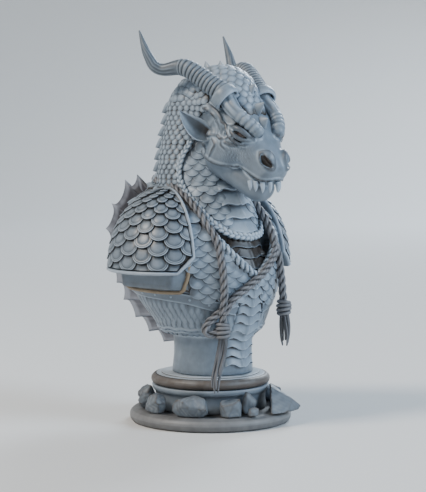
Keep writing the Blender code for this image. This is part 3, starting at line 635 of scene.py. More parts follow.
# Lights: name, direction from the bust, size, watts, colour, distance
LIGHTS = (
    ("key", (-1.0, 0.35, 1.05), 0.55, 36.0, (1.0, 0.93, 0.84), 1.9),
    ("front", (0.45, -1.0, 0.55), 0.8, 36.0, (0.66, 0.82, 1.0), 1.9),
    ("rim", (1.0, 0.45, 0.6), 1.0, 80.0, (0.78, 0.89, 1.0), 3.2),
)
LIGHT_AIM_HEIGHT = 0.12
FLOOR_FLAT = 2.2
FLOOR_SPOKES = 96
SWEEP_RADIUS = 1.3
WALL_TOP = 2.2


def smooth_route(points, steps=4):
    """Points on one smooth curve through the given ones: on each span, the cubic of Catmull and
    Rom, whose slope at a point runs along the chord between its neighbours."""
    points = np.asarray(points, float)
    padded = np.vstack([points[:1], points, points[-1:]])
    b, c = padded[1:-2, None], padded[2:-1, None]
    a, d = padded[:-3, None], padded[3:, None]
    t = (np.arange(steps) / steps)[None, :, None]
    curve = 0.5 * (
        2 * b
        + (c - a) * t
        + (2 * a - 5 * b + 4 * c - d) * t**2
        + (3 * b - a - 3 * c + d) * t**3
    )
    return np.vstack([curve.reshape(-1, points.shape[1]), points[-1:]])


def smooth_least(a, b, blend):
    """The lesser of two arrays, lowered where they differ by less than blend."""
    near = np.maximum(blend - np.abs(a - b), 0) / max(blend, 1e-6)
    return np.minimum(a, b) - near * near * (0.25 * blend)


def on_side(points, side):
    """A table of the left side as it is, or mirrored for the right side where side is -1."""
    points = np.array(points, float)
    points[..., 0] *= side
    return points


def both_sides(points):
    """A table of points and the same on the other side of the middle plane."""
    return on_side(points, 1), on_side(points, -1)


class Clay:
    """A block of grid points in mm, holding the signed distance to the skin at each."""

    def __init__(self, low, high, step):
        self.low = np.asarray(low, float)
        self.step = step
        count = np.ceil((np.asarray(high, float) - self.low) / step).astype(int) + 1
        self.axes = [
            (self.low[i] + step * np.arange(count[i])).astype(np.float32) for i in range(3)
        ]
        self.field = np.full(count, FAR_OUT, np.float32)

    def window(self, low, high):
        """The slices of the block between two corners, and its coordinates there."""
        cut = []
        for axis, a, b in zip(self.axes, low, high):
            first, last = np.searchsorted(axis, (a, b))
            cut.append(slice(int(first), int(last)))
        x, y, z = (axis[c] for axis, c in zip(self.axes, cut))
        return tuple(cut), x[:, None, None], y[None, :, None], z[None, None, :]

    def places(self):
        """The coordinates of every grid point."""
        return np.stack(np.meshgrid(*[a.astype(float) for a in self.axes], indexing="ij"), -1)

    def add(self, cut, distance, blend):
        """Joins a form on: the lesser distance, rounded off where both are alike."""
        if distance.size:
            self.field[cut] = smooth_least(self.field[cut], distance, blend)

    def carve(self, cut, distance, blend):
        """Cuts a form away: the greater of the skin's distance and the form's turned round."""
        if distance.size:
            self.field[cut] = -smooth_least(-self.field[cut], distance, blend)

    def close(self):
        """Puts the block's own limits outside the form, so that its skin has no holes."""
        for axis in range(3):
            edge = np.moveaxis(self.field, axis, 0)
            edge[[0, -1]] = np.maximum(edge[[0, -1]], 0.5 * self.step)

    def ellipsoid(self, middle, radii, blend, carve=False, cut_below=None):
        """Distance to an ellipsoid: with k the length of the point over the radii and m that of
        the point over their squares, it is k (k - 1) / m."""
        middle, radii = np.asarray(middle, float), np.asarray(radii, float)
        reach = radii + blend + 2 * self.step
        cut, x, y, z = self.window(middle - reach, middle + reach)
        u, v, w = x - middle[0], y - middle[1], z - middle[2]
        k = np.sqrt((u / radii[0]) ** 2 + (v / radii[1]) ** 2 + (w / radii[2]) ** 2)
        m = np.sqrt(
            (u / radii[0] ** 2) ** 2 + (v / radii[1] ** 2) ** 2 + (w / radii[2] ** 2) ** 2
        )
        distance = (k * (k - 1) / np.maximum(m, 1e-6)).astype(np.float32)
        if cut_below is not None:
            distance = np.maximum(distance, cut_below - z)
        (self.carve if carve else self.add)(cut, distance, blend)

    def stroke(self, points, blend, steps=4, carve=False):
        """Distance to a bar whose radius changes along it: at each span, the distance to the
        nearest point of the middle line, less the radius there."""
        route = smooth_route(points, steps).astype(np.float32)
        reach = route[:, 3].max() + blend + 2 * self.step
        cut, x, y, z = self.window(
            route[:, :3].min(0) - reach, route[:, :3].max(0) + reach
        )
        near = np.full(self.field[cut].shape, FAR_OUT, np.float32)
        for start, end in zip(route[:-1], route[1:]):
            a, run = start[:3], end[:3] - start[:3]
            margin = max(start[3], end[3]) + blend + 2 * self.step
            low = np.minimum(start[:3], end[:3]) - margin
            high = np.maximum(start[:3], end[:3]) + margin
            part = []
            for axis, lo, hi in zip((x.ravel(), y.ravel(), z.ravel()), low, high):
                first, last = np.searchsorted(axis, (lo, hi))
                part.append(slice(int(first), int(last)))
            u = x[part[0]] - a[0]
            v = y[:, part[1]] - a[1]
            w = z[:, :, part[2]] - a[2]
            along = (u * run[0] + v * run[1] + w * run[2]) / max(run @ run, 1e-9)
            along = np.clip(along, 0, 1)
            off = np.sqrt(
                (u - along * run[0]) ** 2
                + (v - along * run[1]) ** 2
                + (w - along * run[2]) ** 2
            )
            distance = off - (start[3] + along * (end[3] - start[3]))
            part = tuple(part)
            near[part] = np.minimum(near[part], distance)
        (self.carve if carve else self.add)(cut, near, blend)

    def upright(self, rings, blend, squareness=2.0, grow=0.0):
        """Distance to a loft of level rings, measured level towards each ring's middle."""
        rings = smooth_route(rings, 6)
        low = (-rings[:, 3].max() - 4, rings[:, 1].min() - 4, rings[0, 0] - 4)
        high = (rings[:, 3].max() + 4, rings[:, 2].max() + 4, rings[-1, 0] + 4)
        cut, x, y, z = self.window(low, high)
        front, back, half = (
            np.interp(z, rings[:, 0], rings[:, column]).astype(np.float32)
            for column in (1, 2, 3)
        )
        u, v = x, y - 0.5 * (front + back)
        deep = 0.5 * (back - front) + grow
        share = (
            np.abs(u / (half + grow)) ** squareness + np.abs(v / deep) ** squareness
        ) ** (1 / squareness)
        length = np.sqrt(u**2 + v**2)
        level = length - length / np.maximum(share, 1e-3)
        ends = np.maximum(rings[0, 0] - z, z - rings[-1, 0])
        distance = np.maximum(level, ends).astype(np.float32)
        self.add(cut, distance, blend)

    def leaning(self, rings, tilt, squareness, blend):
        """Distance to a loft square to an axis in the middle plane that leans forward from
        straight down: each point is turned to its place along and across that axis first."""
        lean = math.radians(tilt)
        run = np.array((-math.sin(lean), -math.cos(lean)))
        rise = np.array((-math.cos(lean), math.sin(lean)))
        rings = smooth_route(rings, 6)
        place = rings[:, :2] @ np.stack((run, rise), 1)
        reach = rings[:, 2:4].max() + 4
        low = (-reach, rings[:, 0].min() - reach, rings[:, 1].min() - reach)
        high = (reach, rings[:, 0].max() + reach, rings[:, 1].max() + reach)
        cut, x, y, z = self.window(low, high)
        along = y * run[0] + z * run[1]
        across = y * rise[0] + z * rise[1]
        middle, half, deep = (
            np.interp(along, place[:, 0], column).astype(np.float32)
            for column in (place[:, 1], rings[:, 2], rings[:, 3])
        )
        v = across - middle
        share = (
            np.abs(x / half) ** squareness + np.abs(v / deep) ** squareness
        ) ** (1 / squareness)
        length = np.sqrt(x**2 + v**2)
        square = length - length / np.maximum(share, 1e-3)
        ends = np.maximum(place[0, 0] - along, along - place[-1, 0])
        distance = -smooth_least(-square, -ends.astype(np.float32), 3.0)
        self.add(cut, distance.astype(np.float32), blend)

    def value(self, points):
        """The field at any points, from the eight grid points round each by even shares."""
        place = (np.asarray(points) - self.low) / self.step
        place = np.clip(place, 0, np.array(self.field.shape) - 1.001)
        base = np.floor(place).astype(int)
        share = place - base
        total = np.zeros(len(place))
        for corner in np.ndindex(2, 2, 2):
            weight = np.prod(np.where(corner, share, 1 - share), axis=1)
            i, j, k = (base + corner).T
            total += weight * self.field[i, j, k]
        return total

    def outward(self, points):
        """The unit slope of the field at any points, by differences over two steps."""
        offsets = np.eye(3) * self.step
        slope = np.stack(
            [self.value(points + o) - self.value(points - o) for o in offsets], 1
        )
        return slope / np.maximum(np.linalg.norm(slope, axis=1, keepdims=True), 1e-6)

    def settle(self, points, rounds=8):
        """Points moved onto the skin: each goes against the slope by the distance it reads."""
        points = np.array(points, float)
        for _ in range(rounds):
            points -= self.outward(points) * self.value(points)[:, None] * 0.9
        return points, self.outward(points)

    def surface(self):
        """Points and four-sided faces of the skin."""
        grid = openvdb.FloatGrid(FAR_OUT)
        grid.copyFromArray(np.ascontiguousarray(self.field))
        points, faces = grid.convertToQuads(isovalue=0.0)
        return points * self.step + self.low, faces[:, ::-1].astype(int)


def on_skin(clay, table, sink=0.0):
    """A stroke's route laid on the skin: its points are settled, then sunk by some of their
    radius."""
    route = smooth_route(table, 5)
    spots, out = clay.settle(route[:, :3], 6)
    return np.column_stack([spots - out * sink * route[:, 3:4], route[:, 3]])


def sculpt_head():
    """The skull, muzzle, jaw and all that is carved on them, blended into the neck."""
    clay = Clay(*HEAD_BLOCK, HEAD_STEP)
    clay.upright(NECK_RINGS, 0.0, grow=-0.6)
    clay.ellipsoid(*CRANIUM, blend=6.0)
    clay.leaning(MUZZLE_RINGS, MUZZLE_AXIS_TILT, 2.4, blend=5.0)
    clay.leaning(JAW_RINGS, JAW_AXIS_TILT, 2.3, blend=1.5)
    for side in (1, -1):
        clay.ellipsoid(on_side(CHEEK[0], side), CHEEK[1], blend=4.0)
        clay.ellipsoid(on_side(NOSTRIL[0], side), NOSTRIL[1], blend=3.0)
    for points in both_sides(NOSTRIL_RIM):
        clay.stroke(on_skin(clay, points, 0.1), blend=1.8, steps=1)
    for points in both_sides(NOSTRIL_SLIT):
        clay.stroke(on_skin(clay, points, 0.6), blend=0.7, steps=1, carve=True)
    for points in both_sides(LIP):
        route = on_skin(clay, points)
        groove = route.copy()
        groove[:, 2] -= LIP_GROOVE_DOWN
        groove[:, 3] = LIP_GROOVE_RADIUS
        groove[:, :3], _ = clay.settle(groove[:, :3], 4)
        clay.stroke(route, blend=0.9, steps=1)
        clay.stroke(groove, blend=0.3, steps=1, carve=True)
    under_brow = np.array(BROW)
    under_brow[:, 3] -= UNDER_BROW_INSET
    for table in (under_brow, EAR_ROOT, EAR_FOLD):
        for points in both_sides(table):
            clay.stroke(points, blend=2.0)
    for side in (1, -1):
        clay.ellipsoid(on_side(EYE[0], side), EYE[1], 0.6, carve=True)
    for table in (UPPER_LID, LOWER_LID, LID_FOLD):
        for points in both_sides(table):
            clay.stroke(points, blend=0.5)
    for table in EAR_BANDS + TENDRILS:
        for points in both_sides(table):
            clay.stroke(on_skin(clay, points, 0.3), blend=0.5, steps=1)
    clay.close()
    return clay


def wrinkled(points, faces):
    """Wrinkles of the face: pebbles where two sets of waves cross on the cheek, faded out round
    it. Gives the moved points and how far each was moved."""
    x, y, z = np.abs(points[:, 0]), points[:, 1], points[:, 2]
    bend = 0.9 * np.sin(0.5 * z + 0.3 * y) + 0.6 * np.sin(0.8 * y - 0.6 * z + 1.0)
    cheek = np.exp(-(((y + 37) / 8) ** 2) - (((z - 160) / 6.5) ** 2)) * np.clip(x - 8, 0, 1)
    upright = np.sin((y + bend) * 2 * math.pi / WRINKLE_ALONG)
    level = np.sin((z + 0.5 * bend) * 2 * math.pi / WRINKLE_DOWN)
    rise = WRINKLE_RISE * cheek * upright * (0.5 + 0.5 * level)
    return points + normals_of(points, faces) * rise[:, None], rise


def neckline_half(height):
    """Half width of the mail's V-shaped neck opening at a height."""
    return np.interp(height, *np.array(NECK_OPENING).T)


def sculpt_guide(head=True):
    """The whole figure's smooth skin, which scales, plates and cords are settled on. The mail's
    neck opening is cut from the trunk before the throat goes in behind it."""
    clay = Clay(*BODY_BLOCK, BODY_STEP)
    clay.upright(COLUMN_RINGS, 0.0)
    clay.upright(TRUNK_RINGS, 0.6, squareness=TRUNK_SQUARENESS)
    cut, x, y, z = clay.window(*NECK_OPENING_BLOCK)
    inside = np.maximum(np.abs(x) - neckline_half(z), y - NECK_OPENING_BACK)
    inside = np.maximum(inside, NECK_OPENING_BLOCK[0][2] - z)
    clay.carve(cut, inside.astype(np.float32), blend=1.0)
    clay.upright(NECK_RINGS, 1.0)
    clay.upright(THROAT_RINGS, 2.0)
    seat = np.array((PLATE_WIDTH, PLATE_FRONT, PLATE_RISE)) - PLATE_SEAT_INSET
    for side in (1, -1):
        clay.ellipsoid(on_side(PLATE_CENTRE, side), seat, blend=5.0, cut_below=PLATE_SEAT_FOOT)
    if head:
        clay.ellipsoid(*CRANIUM, blend=6.0)
        clay.leaning(MUZZLE_RINGS, MUZZLE_AXIS_TILT, 2.4, blend=5.0)
    return clay


# The smooth figure that everything is laid on
GUIDE = sculpt_guide()


def piece(name, shape, finish, replaces=BUST):
    """One object from a shape's points in mm, faces and relief: its mesh, finish and the nodes
    it stands for."""
    points, faces, relief = shape
    points = np.asarray(points, float) + (0.0, 0.0, FIGURE_SHIFT)
    faces = np.asarray(faces, int)
    mesh = bpy.data.meshes.new(name)
    mesh.vertices.add(len(points))
    mesh.vertices.foreach_set("co", (points * MM).astype(np.float32).ravel())
    mesh.loops.add(faces.size)
    mesh.loops.foreach_set("vertex_index", faces.astype(np.int32).ravel())
    mesh.polygons.add(len(faces))
    mesh.polygons.foreach_set(
        "loop_start", np.arange(0, faces.size, faces.shape[1], dtype=np.int32)
    )
    mesh.polygons.foreach_set("use_smooth", np.ones(len(faces), bool))
    mesh.update(calc_edges=True)
    mesh.validate()
    layer = mesh.attributes.new("relief", "FLOAT", "POINT")
    layer.data.foreach_set("value", np.asarray(relief, np.float32))
    mesh.materials.append(finish)
    made = linked(name, mesh)
    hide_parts(*replaces)
    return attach(made, "root")


def normals_of(points, faces):
    """Unit normals at the points, as the sum of the cross products of each face's diagonals."""
    a, b, c, d = (points[faces[:, i]] for i in range(4))
    face_normals = np.cross(c - a, d - b)
    total = np.stack(
        [
            np.bincount(faces.ravel(), np.repeat(face_normals[:, i], 4), len(points))
            for i in range(3)
        ],
        1,
    )
    return total / np.maximum(np.linalg.norm(total, axis=1, keepdims=True), 1e-12)


def relief_of(points, faces, rounds):
    """How far each point stands out of the even run of the surface round it, in mm: the points
    are drawn towards the middle of their neighbours some times over, and the way back is
    measured along the normal. Ridges are above nought and hollows below."""
    start = np.concatenate([faces[:, i] for i in range(4)])
    end = np.concatenate([faces[:, (i + 1) % 4] for i in range(4)])
    count = np.bincount(start, minlength=len(points)) + 1e-9
    even = points.copy()
    for _ in range(rounds):
        even = np.stack(
            [np.bincount(start, even[end, i], len(points)) / count for i in range(3)], 1
        )
    return ((points - even) * normals_of(points, faces)).sum(1)


def coded(relief, strength):
    """Relief in mm as the share that the finishes read: a half on even ground."""
    return np.clip(0.5 + relief * strength, 0, 1)


def wall(rows, sides):
    """Faces between rows of points, each row a closed loop that runs anticlockwise as seen from
    the last row."""
    here = np.arange(rows - 1)[:, None] * sides + np.arange(sides)
    after = np.arange(rows - 1)[:, None] * sides + (np.arange(sides) + 1) % sides
    return np.stack([here, after, after + sides, here + sides], -1).reshape(-1, 4)


def rungs(loop, turned=False):
    """Faces that close an even loop of points like the rungs of a ladder."""
    loop = np.asarray(loop)
    k = np.arange(len(loop) // 2 - 1)
    quads = loop[np.stack([k, k + 1, len(loop) - 2 - k, len(loop) - 1 - k], -1)]
    return quads[:, ::-1] if turned else quads


def closed_bar(rows, sides):
    """Faces of a bar of rows of points, closed at both ends."""
    ring = np.arange(sides)
    return np.concatenate(
        [wall(rows, sides), rungs(ring, turned=True), rungs(ring + (rows - 1) * sides)]
    )


def gathered(parts):
    """One set from several sets of points, faces and relief."""
    points, faces, relief, count = [], [], [], 0
    for part_points, part_faces, part_relief in parts:
        points.append(part_points)
        faces.append(np.asarray(part_faces) + count)
        relief.append(np.broadcast_to(part_relief, len(part_points)))
        count += len(part_points)
    return np.concatenate(points), np.concatenate(faces), np.concatenate(relief)


def unit(vectors):
    """The vectors at length one."""
    vectors = np.asarray(vectors, float)
    return vectors / np.maximum(np.linalg.norm(vectors, axis=-1, keepdims=True), 1e-9)


def along(route, samples):
    """Points at even steps of length along a route, and the length at each."""
    spans = np.linalg.norm(np.diff(route[:, :3], axis=0), axis=1)
    length = np.concatenate([[0], np.cumsum(spans)])
    place = np.linspace(0, length[-1], samples)
    columns = [np.interp(place, length, route[:, i]) for i in range(route.shape[1])]
    return np.stack(columns, 1), place


def around(sides):
    """Angles at even steps of one turn."""
    return 2 * math.pi * np.arange(sides) / sides


def frames(centres, reference):
    """Tangent, first and second cross direction at each point of a route: the first is the
    reference direction less its part along the route."""
    tangent = unit(np.gradient(centres, axis=0))
    reference = np.broadcast_to(np.asarray(reference, float), tangent.shape)
    first = unit(reference - (reference * tangent).sum(1, keepdims=True) * tangent)
    return tangent, first, np.cross(tangent, first)


def bar(route, sides, reference=(0, 0, 1), swell=0.0, flatness=1.0, code=0.5):
    """Round bar: the points at turn a are the middle line plus the radius times cos a and sin a
    along its two cross directions. Swell adds to the radius at each row and turn."""
    centres, radius = route[:, :3], route[:, 3]
    _, first, second = frames(centres, reference)
    turn = around(sides)
    reach = radius[:, None] + swell
    points = (
        centres[:, None]
        + first[:, None] * (reach * np.cos(turn) * flatness)[..., None]
        + second[:, None] * (reach * np.sin(turn))[..., None]
    )
    rows = len(route)
    relief = np.broadcast_to(np.asarray(code, float), (rows, sides)).ravel()
    return points.reshape(-1, 3), closed_bar(rows, sides), relief


def ball(middle, radii, rows=16, sides=24, code=0.5):
    """Ellipsoid as a bar along its height, closed at both poles."""
    fall = np.linspace(0.03, math.pi - 0.03, rows)[:, None]
    turn = around(sides)
    level = np.sin(fall)
    round_ball = np.stack(
        [level * np.cos(turn), level * np.sin(turn), -np.cos(fall) * np.ones(sides)], -1
    )
    points = np.asarray(middle) + round_ball * np.asarray(radii)
    return points.reshape(-1, 3), closed_bar(rows, sides), np.full(rows * sides, float(code))


def turned(profile, sides=160, root=(0, 0, -FIGURE_SHIFT), axis=(0, 0, 1)):
    """Surface of a profile of radius, height and relief turned about an axis, from the middle
    of the underside out and up to the middle of the top."""
    profile = np.array(profile, float)
    axis = unit(axis)
    first = unit(np.cross((0.0, 1.0, 0.0), axis))
    second = np.cross(axis, first)
    turn = around(sides)
    round_it = np.cos(turn)[:, None] * first + np.sin(turn)[:, None] * second
    points = (
        np.asarray(root)
        + profile[:, :1, None] * round_it
        + profile[:, 1:2, None] * np.broadcast_to(axis, (sides, 3))
    )
    faces = closed_bar(len(profile), sides)
    return points.reshape(-1, 3), faces, np.repeat(profile[:, 2], sides)


def rounded(corners, steps=5):
    """Profile through corners of radius, height, rounding and relief: each corner is a quarter
    turn cut off by a curve of second degree."""
    corners = np.array(corners, float)
    made = [corners[0][[0, 1, 3]]]
    for before, here, after in zip(corners, corners[1:], corners[2:]):
        back, on = before[:2] - here[:2], after[:2] - here[:2]
        reach = min(here[2], 0.49 * np.hypot(*back), 0.49 * np.hypot(*on))
        a = here[:2] + back / max(np.hypot(*back), 1e-9) * reach
        b = here[:2] + on / max(np.hypot(*on), 1e-9) * reach
        for t in np.linspace(0, 1, steps):
            spot = (1 - t) ** 2 * a + 2 * t * (1 - t) * here[:2] + t**2 * b
            made.append((*spot, here[3]))
    made.append(corners[-1][[0, 1, 3]])
    return made


def head_skin():
    """The sculpted head, with painted shade run dark into the nostrils' slits."""
    points, faces = sculpt_head().surface()
    points, rise = wrinkled(points, faces)
    # Painted shade in the hollows, painted highlight on the ridges and the wrinkles' crests
    relief = coded(relief_of(points, faces, SKIN_ROUNDS), SKIN_CONTRAST) + 0.9 * rise
    # Painted shade, dark in the nostrils' slits
    for table in both_sides(NOSTRIL_SLIT):
        route = smooth_route(table, 6)
        away = np.linalg.norm(points[:, None] - route[:, :3], axis=2) / route[:, 3]
        relief -= np.exp(-((away.min(1) / 1.1) ** 4))
    return points, faces, np.clip(relief, 0, 1)


def body_skin():
    """The sculpted neck, trunk and column from inside the head down into the plinth's ring.
    It is dark with painted shade between the scales and in the mail's neck opening, and less
    so where it is bare: on the column and in the armholes."""
    body = sculpt_guide(head=False)
    body.field = np.maximum(body.field, (body.axes[2] - BODY_TOP)[None, None, :])
    body.field[:, :, body.axes[2] < BODY_FOOT] = FAR_OUT
    body.close()
    points, faces = body.surface()
    relief = coded(relief_of(points, faces, SKIN_ROUNDS), SKIN_CONTRAST)
    outward, depth, height = np.abs(points[:, 0]), points[:, 1], points[:, 2]
    low, high = NECK_HOLLOW_HEIGHTS
    hollow = (outward < neckline_half(height)) & (depth < 0) & (height > low) & (height < high)
    low, high = ARMHOLE_HEIGHTS
    armhole = (outward > ARM_FACE_OUT) & (depth > ARM_FACE_FRONT) & (height > low) & (height < high)
    bare = (height < COLUMN_TOP) | armhole
    # Painted shade: darker under the scales and in the neck opening, never dark on bare skin
    relief = np.where(bare, np.maximum(relief, 0.4), relief - 0.22) - 0.12 * hollow
    return points, faces, np.clip(relief, 0, 1)


def trunk_lips():
    """Two wavy beads round the trunk's lower edge, over the column."""
    turn = np.linspace(0, 2 * math.pi, 161)
    lips = []
    for height, radius in TRUNK_LIPS:
        front, back, half = ring_at(TRUNK_RINGS, height)
        wave = height + 0.5 * np.sin(turn * 18)
        middle, deep = 0.5 * (front + back), 0.5 * (back - front)
        route = np.column_stack([half * np.sin(turn), middle - deep * np.cos(turn), wave])
        spots, out = GUIDE.settle(route, 6)
        lips.append(bar(np.column_stack([spots, np.full(len(turn), radius)]), 10, out, code=0.62))
    return gathered(lips)


class Scale:
    """Shape of one scale on rings and spokes: place across and along, height over the skin and
    relief of each point. Rings are radius, height and relief from the middle out, and the foot
    of the edge comes last. Painted shade, with the wash, lies dark beside the edges of the
    scales that lap over it: one straight above and one half as far up on either side. The
    relief is painted shade towards the root and at the foot of the edge."""

    def __init__(self, spokes, rings, lap=(1.0, 1.5), wash_and_painted_shade=0.4, point=0.0, widest=0.0, flick=1.0):
        rings = np.array((*rings, (1.0, SCALE_FOOT, 0.0)))
        turn = around(spokes)
        u, v = rings[:, :1] * np.sin(turn), rings[:, :1] * np.cos(turn)
        self.across = u * (1 + widest * v)
        self.forth = v + point * np.maximum(v, 0) ** 2 * (1 - np.abs(u)) ** 1.5
        lean = np.maximum(0.5 * (v + 1), 0) ** flick
        self.rise = rings[:, 1:2] * (0.35 + 0.65 * lean) + lean
        self.rise[-1] = SCALE_FOOT
        side, back = lap
        # Painted shade, with the wash, beside the edges of the scales that lap over this one
        near = np.minimum(np.hypot(u, v + back), np.hypot(np.abs(u) - side, v + 0.5 * back)) - 1
        dark = wash_and_painted_shade * np.exp(-((np.maximum(near, 0) / 0.24) ** 2))
        # Painted shade: darker towards the scale's root and black at the foot of its edge
        self.shade = rings[:, 2:3] + 0.06 * v - dark
        self.shade[-1] = 0.0
        self.faces = closed_bar(len(rings), spokes)

    def copies(self, count):
        """Faces and relief of so many copies."""
        faces = self.faces[None] + (np.arange(count) * self.rise.size)[:, None, None]
        relief = np.broadcast_to(self.shade.ravel(), (count, self.rise.size))
        return faces.reshape(-1, 4), relief.ravel()

    def laid(self, places, growth, normals, width, length, height):
        """Copies at places: across by width, along the growth by length, up by height. Each
        point is first settled on the skin, so that the scale bends with it."""
        growth = unit(growth - (growth * normals).sum(1, keepdims=True) * normals)
        side = np.cross(growth, normals)
        width, length, height = (
            np.broadcast_to(value, len(places))[:, None] for value in (width, length, height)
        )
        flat = (
            places[:, None]
            + side[:, None] * (self.across.ravel() * width)[..., None]
            + growth[:, None] * (self.forth.ravel() * length)[..., None]
        )
        spots, out = GUIDE.settle(flat.reshape(-1, 3), 4)
        return spots + out * (self.rise.ravel() * height).reshape(-1, 1), *self.copies(len(places))


# In the rings below, the relief puts a painted highlight on the domes and rims and painted shade
# down to the edges
# Nape: small beads with a soft edge
DOMED = Scale(
    10, ((0.2, 0.7, 0.72), (0.6, 0.5, 0.62), (0.86, 0.2, 0.5), (0.99, 0.02, 0.2)), (0.9, 1.95)
)
# Crown: broad humps with a slight point
SCUTE = Scale(
    16,
    ((0.2, 0.8, 0.7), (0.5, 0.72, 0.66), (0.75, 0.5, 0.55), (0.9, 0.2, 0.4), (0.99, 0, 0.1)),
    (1.0, 1.9),
    point=0.3,
)
# Mail: flat shields with a low rim
MAIL = Scale(
    20,
    (
        (0.15, 0.5, 0.68),
        (0.45, 0.46, 0.64),
        (0.72, 0.32, 0.55),
        (0.82, 0.28, 0.55),
        (0.93, 0.22, 0.64),
        (0.99, 0.04, 0.1),
    ),
    (1.06, 1.28),
    wash_and_painted_shade=0.26,
    widest=0.1,
)
# Shoulder plates: dished discs with a groove dark with painted shade and a rim bright with a
# painted highlight
DISHED = Scale(
    28,
    (
        (0.12, 0.56, 0.6),
        (0.4, 0.5, 0.58),
        (0.62, 0.38, 0.5),
        (0.72, 0.24, 0.38),
        (0.77, 0.38, 0.66),
        (0.83, 0.35, 0.58),
        (0.87, 0.2, 0.36),
        (0.92, 0.4, 0.82),
        (0.97, 0.32, 0.7),
        (1.0, 0.08, 0.15),
    ),
    (1.6, 1.43),
    wash_and_painted_shade=0.36,
    widest=0.1,
)
# Back of the neck: points that flick up
SPINY = Scale(
    12,
    ((0.1, 0.5, 0.62), (0.45, 0.3, 0.6), (0.9, 0.05, 0.6)),
    wash_and_painted_shade=0.0,
    point=0.6,
    flick=1.8,
)
# Cup: narrow pointed leaves
FEATHER = Scale(
    10,
    ((0.2, 0.4, 0.6), (0.6, 0.26, 0.55), (0.88, 0.1, 0.52), (0.99, 0, 0.4)),
    (0.95, 1.6),
    wash_and_painted_shade=0.12,
    point=0.9,
)


def ring_at(rings, height):
    """Front, back and half width of a loft at a height."""
    rings = smooth_route(rings, 6)
    return [np.interp(height, rings[:, 0], rings[:, column]) for column in (1, 2, 3)]


def ring_rows(rings, heights, spacing, squareness=2.0):
    """Places on the skin in level rows round a loft at even steps of its girth, staggered row
    by row, and the skin's normals there."""
    places = []
    turn = np.linspace(-math.pi, math.pi, 361)
    power = 2 / squareness
    side = np.sign(np.sin(turn)) * np.abs(np.sin(turn)) ** power
    ahead = np.sign(np.cos(turn)) * np.abs(np.cos(turn)) ** power
    for row, height in enumerate(heights):
        front, back, half = ring_at(rings, height)
        x = half * side
        y = 0.5 * (front + back) - 0.5 * (back - front) * ahead
        girth = np.concatenate([[0], np.cumsum(np.hypot(np.diff(x), np.diff(y)))])
        count = int(round(girth[-1] / spacing / 2)) * 2
        place = (np.arange(count) + 0.5 * (row % 2)) / count * girth[-1]
        level = [np.interp(place, girth, x), np.interp(place, girth, y), np.full(count, height)]
        places.append(np.column_stack(level))
    return GUIDE.settle(np.concatenate(places))


def crown_rows(centre, falls, spacing_angle, low=4.0, high=46.0):
    """Places on the skull in rows from the brow over the crown to the nape, and the way that
    each row grows: each lies on the skin along a direction from the skull's centre, found by
    halving."""
    places, growth = [], []
    centre = np.asarray(centre, float)
    for row, fall in enumerate(np.radians(falls)):
        count = int(150 / spacing_angle)
        side = np.radians((np.arange(-count, count + 1) / 2 + 0.25 * (row % 2)) * spacing_angle)
        side = side[np.abs(side) < np.radians(68)]
        ahead = np.column_stack(
            [np.sin(side), -np.cos(side) * math.cos(fall), np.cos(side) * math.sin(fall)]
        )
        near, far = np.full(len(side), low), np.full(len(side), high)
        for _ in range(14):
            middle = 0.5 * (near + far)
            inside = GUIDE.value(centre + ahead * middle[:, None]) < 0
            near, far = np.where(inside, middle, near), np.where(inside, far, middle)
        places.append(centre + ahead * near[:, None])
        growth.append(np.broadcast_to((0, math.sin(fall), math.cos(fall)), (len(side), 3)))
    return np.concatenate(places), np.concatenate(growth)


def clear_of(places, table, reach):
    """Which places are farther than a reach from a route or from its mirror image."""
    route = smooth_route(table, 6)[:, :3]
    spots = np.column_stack([np.abs(places[:, 0]), places[:, 1:]])
    return np.linalg.norm(spots[:, None] - route, axis=2).min(1) > reach


def between_horns(places):
    """Half width of the crown between the horns and, lower down, between the brows."""
    horns = np.interp(places[:, 1], *np.array(HORN_GAP).T)
    brows = np.interp(places[:, 2], *np.array(BROW_GAP).T)
    return np.minimum(horns, brows)


def cord_behind(height):
    """Depth of the plaited cord at a height on the neck: small scales lie behind it."""
    return np.interp(height, *np.array(CORD_DEPTH).T)


def strap_height(depth):
    """Height of the riveted strap's middle line at a depth."""
    return np.interp(depth, *np.array(STRAP)[:, 1:3].T)


def column_half(height):
    """Half width of the column's plates at a height, less the lap of the scales beside them."""
    return np.interp(height, *np.array(COLUMN_PLATE_HALF).T) - 1.0


def lay_scales(name, shape, places, normals, growth, sizes, dice=None, shade=0.0):
    """Scales at places on the skin as one piece; sizes are half width, half length, height."""
    width, length, height = (np.broadcast_to(size, len(places)) for size in sizes)
    growth = np.broadcast_to(np.asarray(growth, float), places.shape)
    if dice:
        own = np.random.default_rng(dice)
        width = width * own.uniform(0.94, 1.06, len(places))
        height = height * own.uniform(0.85, 1.15, len(places))
        growth = growth + own.normal(0, 0.05, places.shape)
    points, faces, relief = shape.laid(places, growth, normals, width, length, height)
    piece(name, (points, faces, np.clip(relief + shade, 0, 1)), skin)


def nape_scales():
    """Small domed scales round the back of the neck, larger up on the head."""
    places, normals = ring_rows(NECK_RINGS, np.arange(*NAPE_ROWS), NAPE_SPACING)
    outward, depth, height = np.abs(places[:, 0]), places[:, 1], places[:, 2]
    keep = (depth > cord_behind(height)) & clear_of(places, THROAT_CORD, NAPE_CORD_GAP)
    keep &= (height < NAPE_TOP) | (outward > between_horns(places)) | (depth > CROWN_BACK)
    spread = 1 + 0.34 * np.clip((height[keep] - NAPE_TOP) / 14, 0, 1)
    width, length, rise = NAPE_SCALE
    sizes = (width * spread, length * spread, rise)
    lay_scales("nape_scales", DOMED, places[keep], normals[keep], DOWN_BACK, sizes, 3)


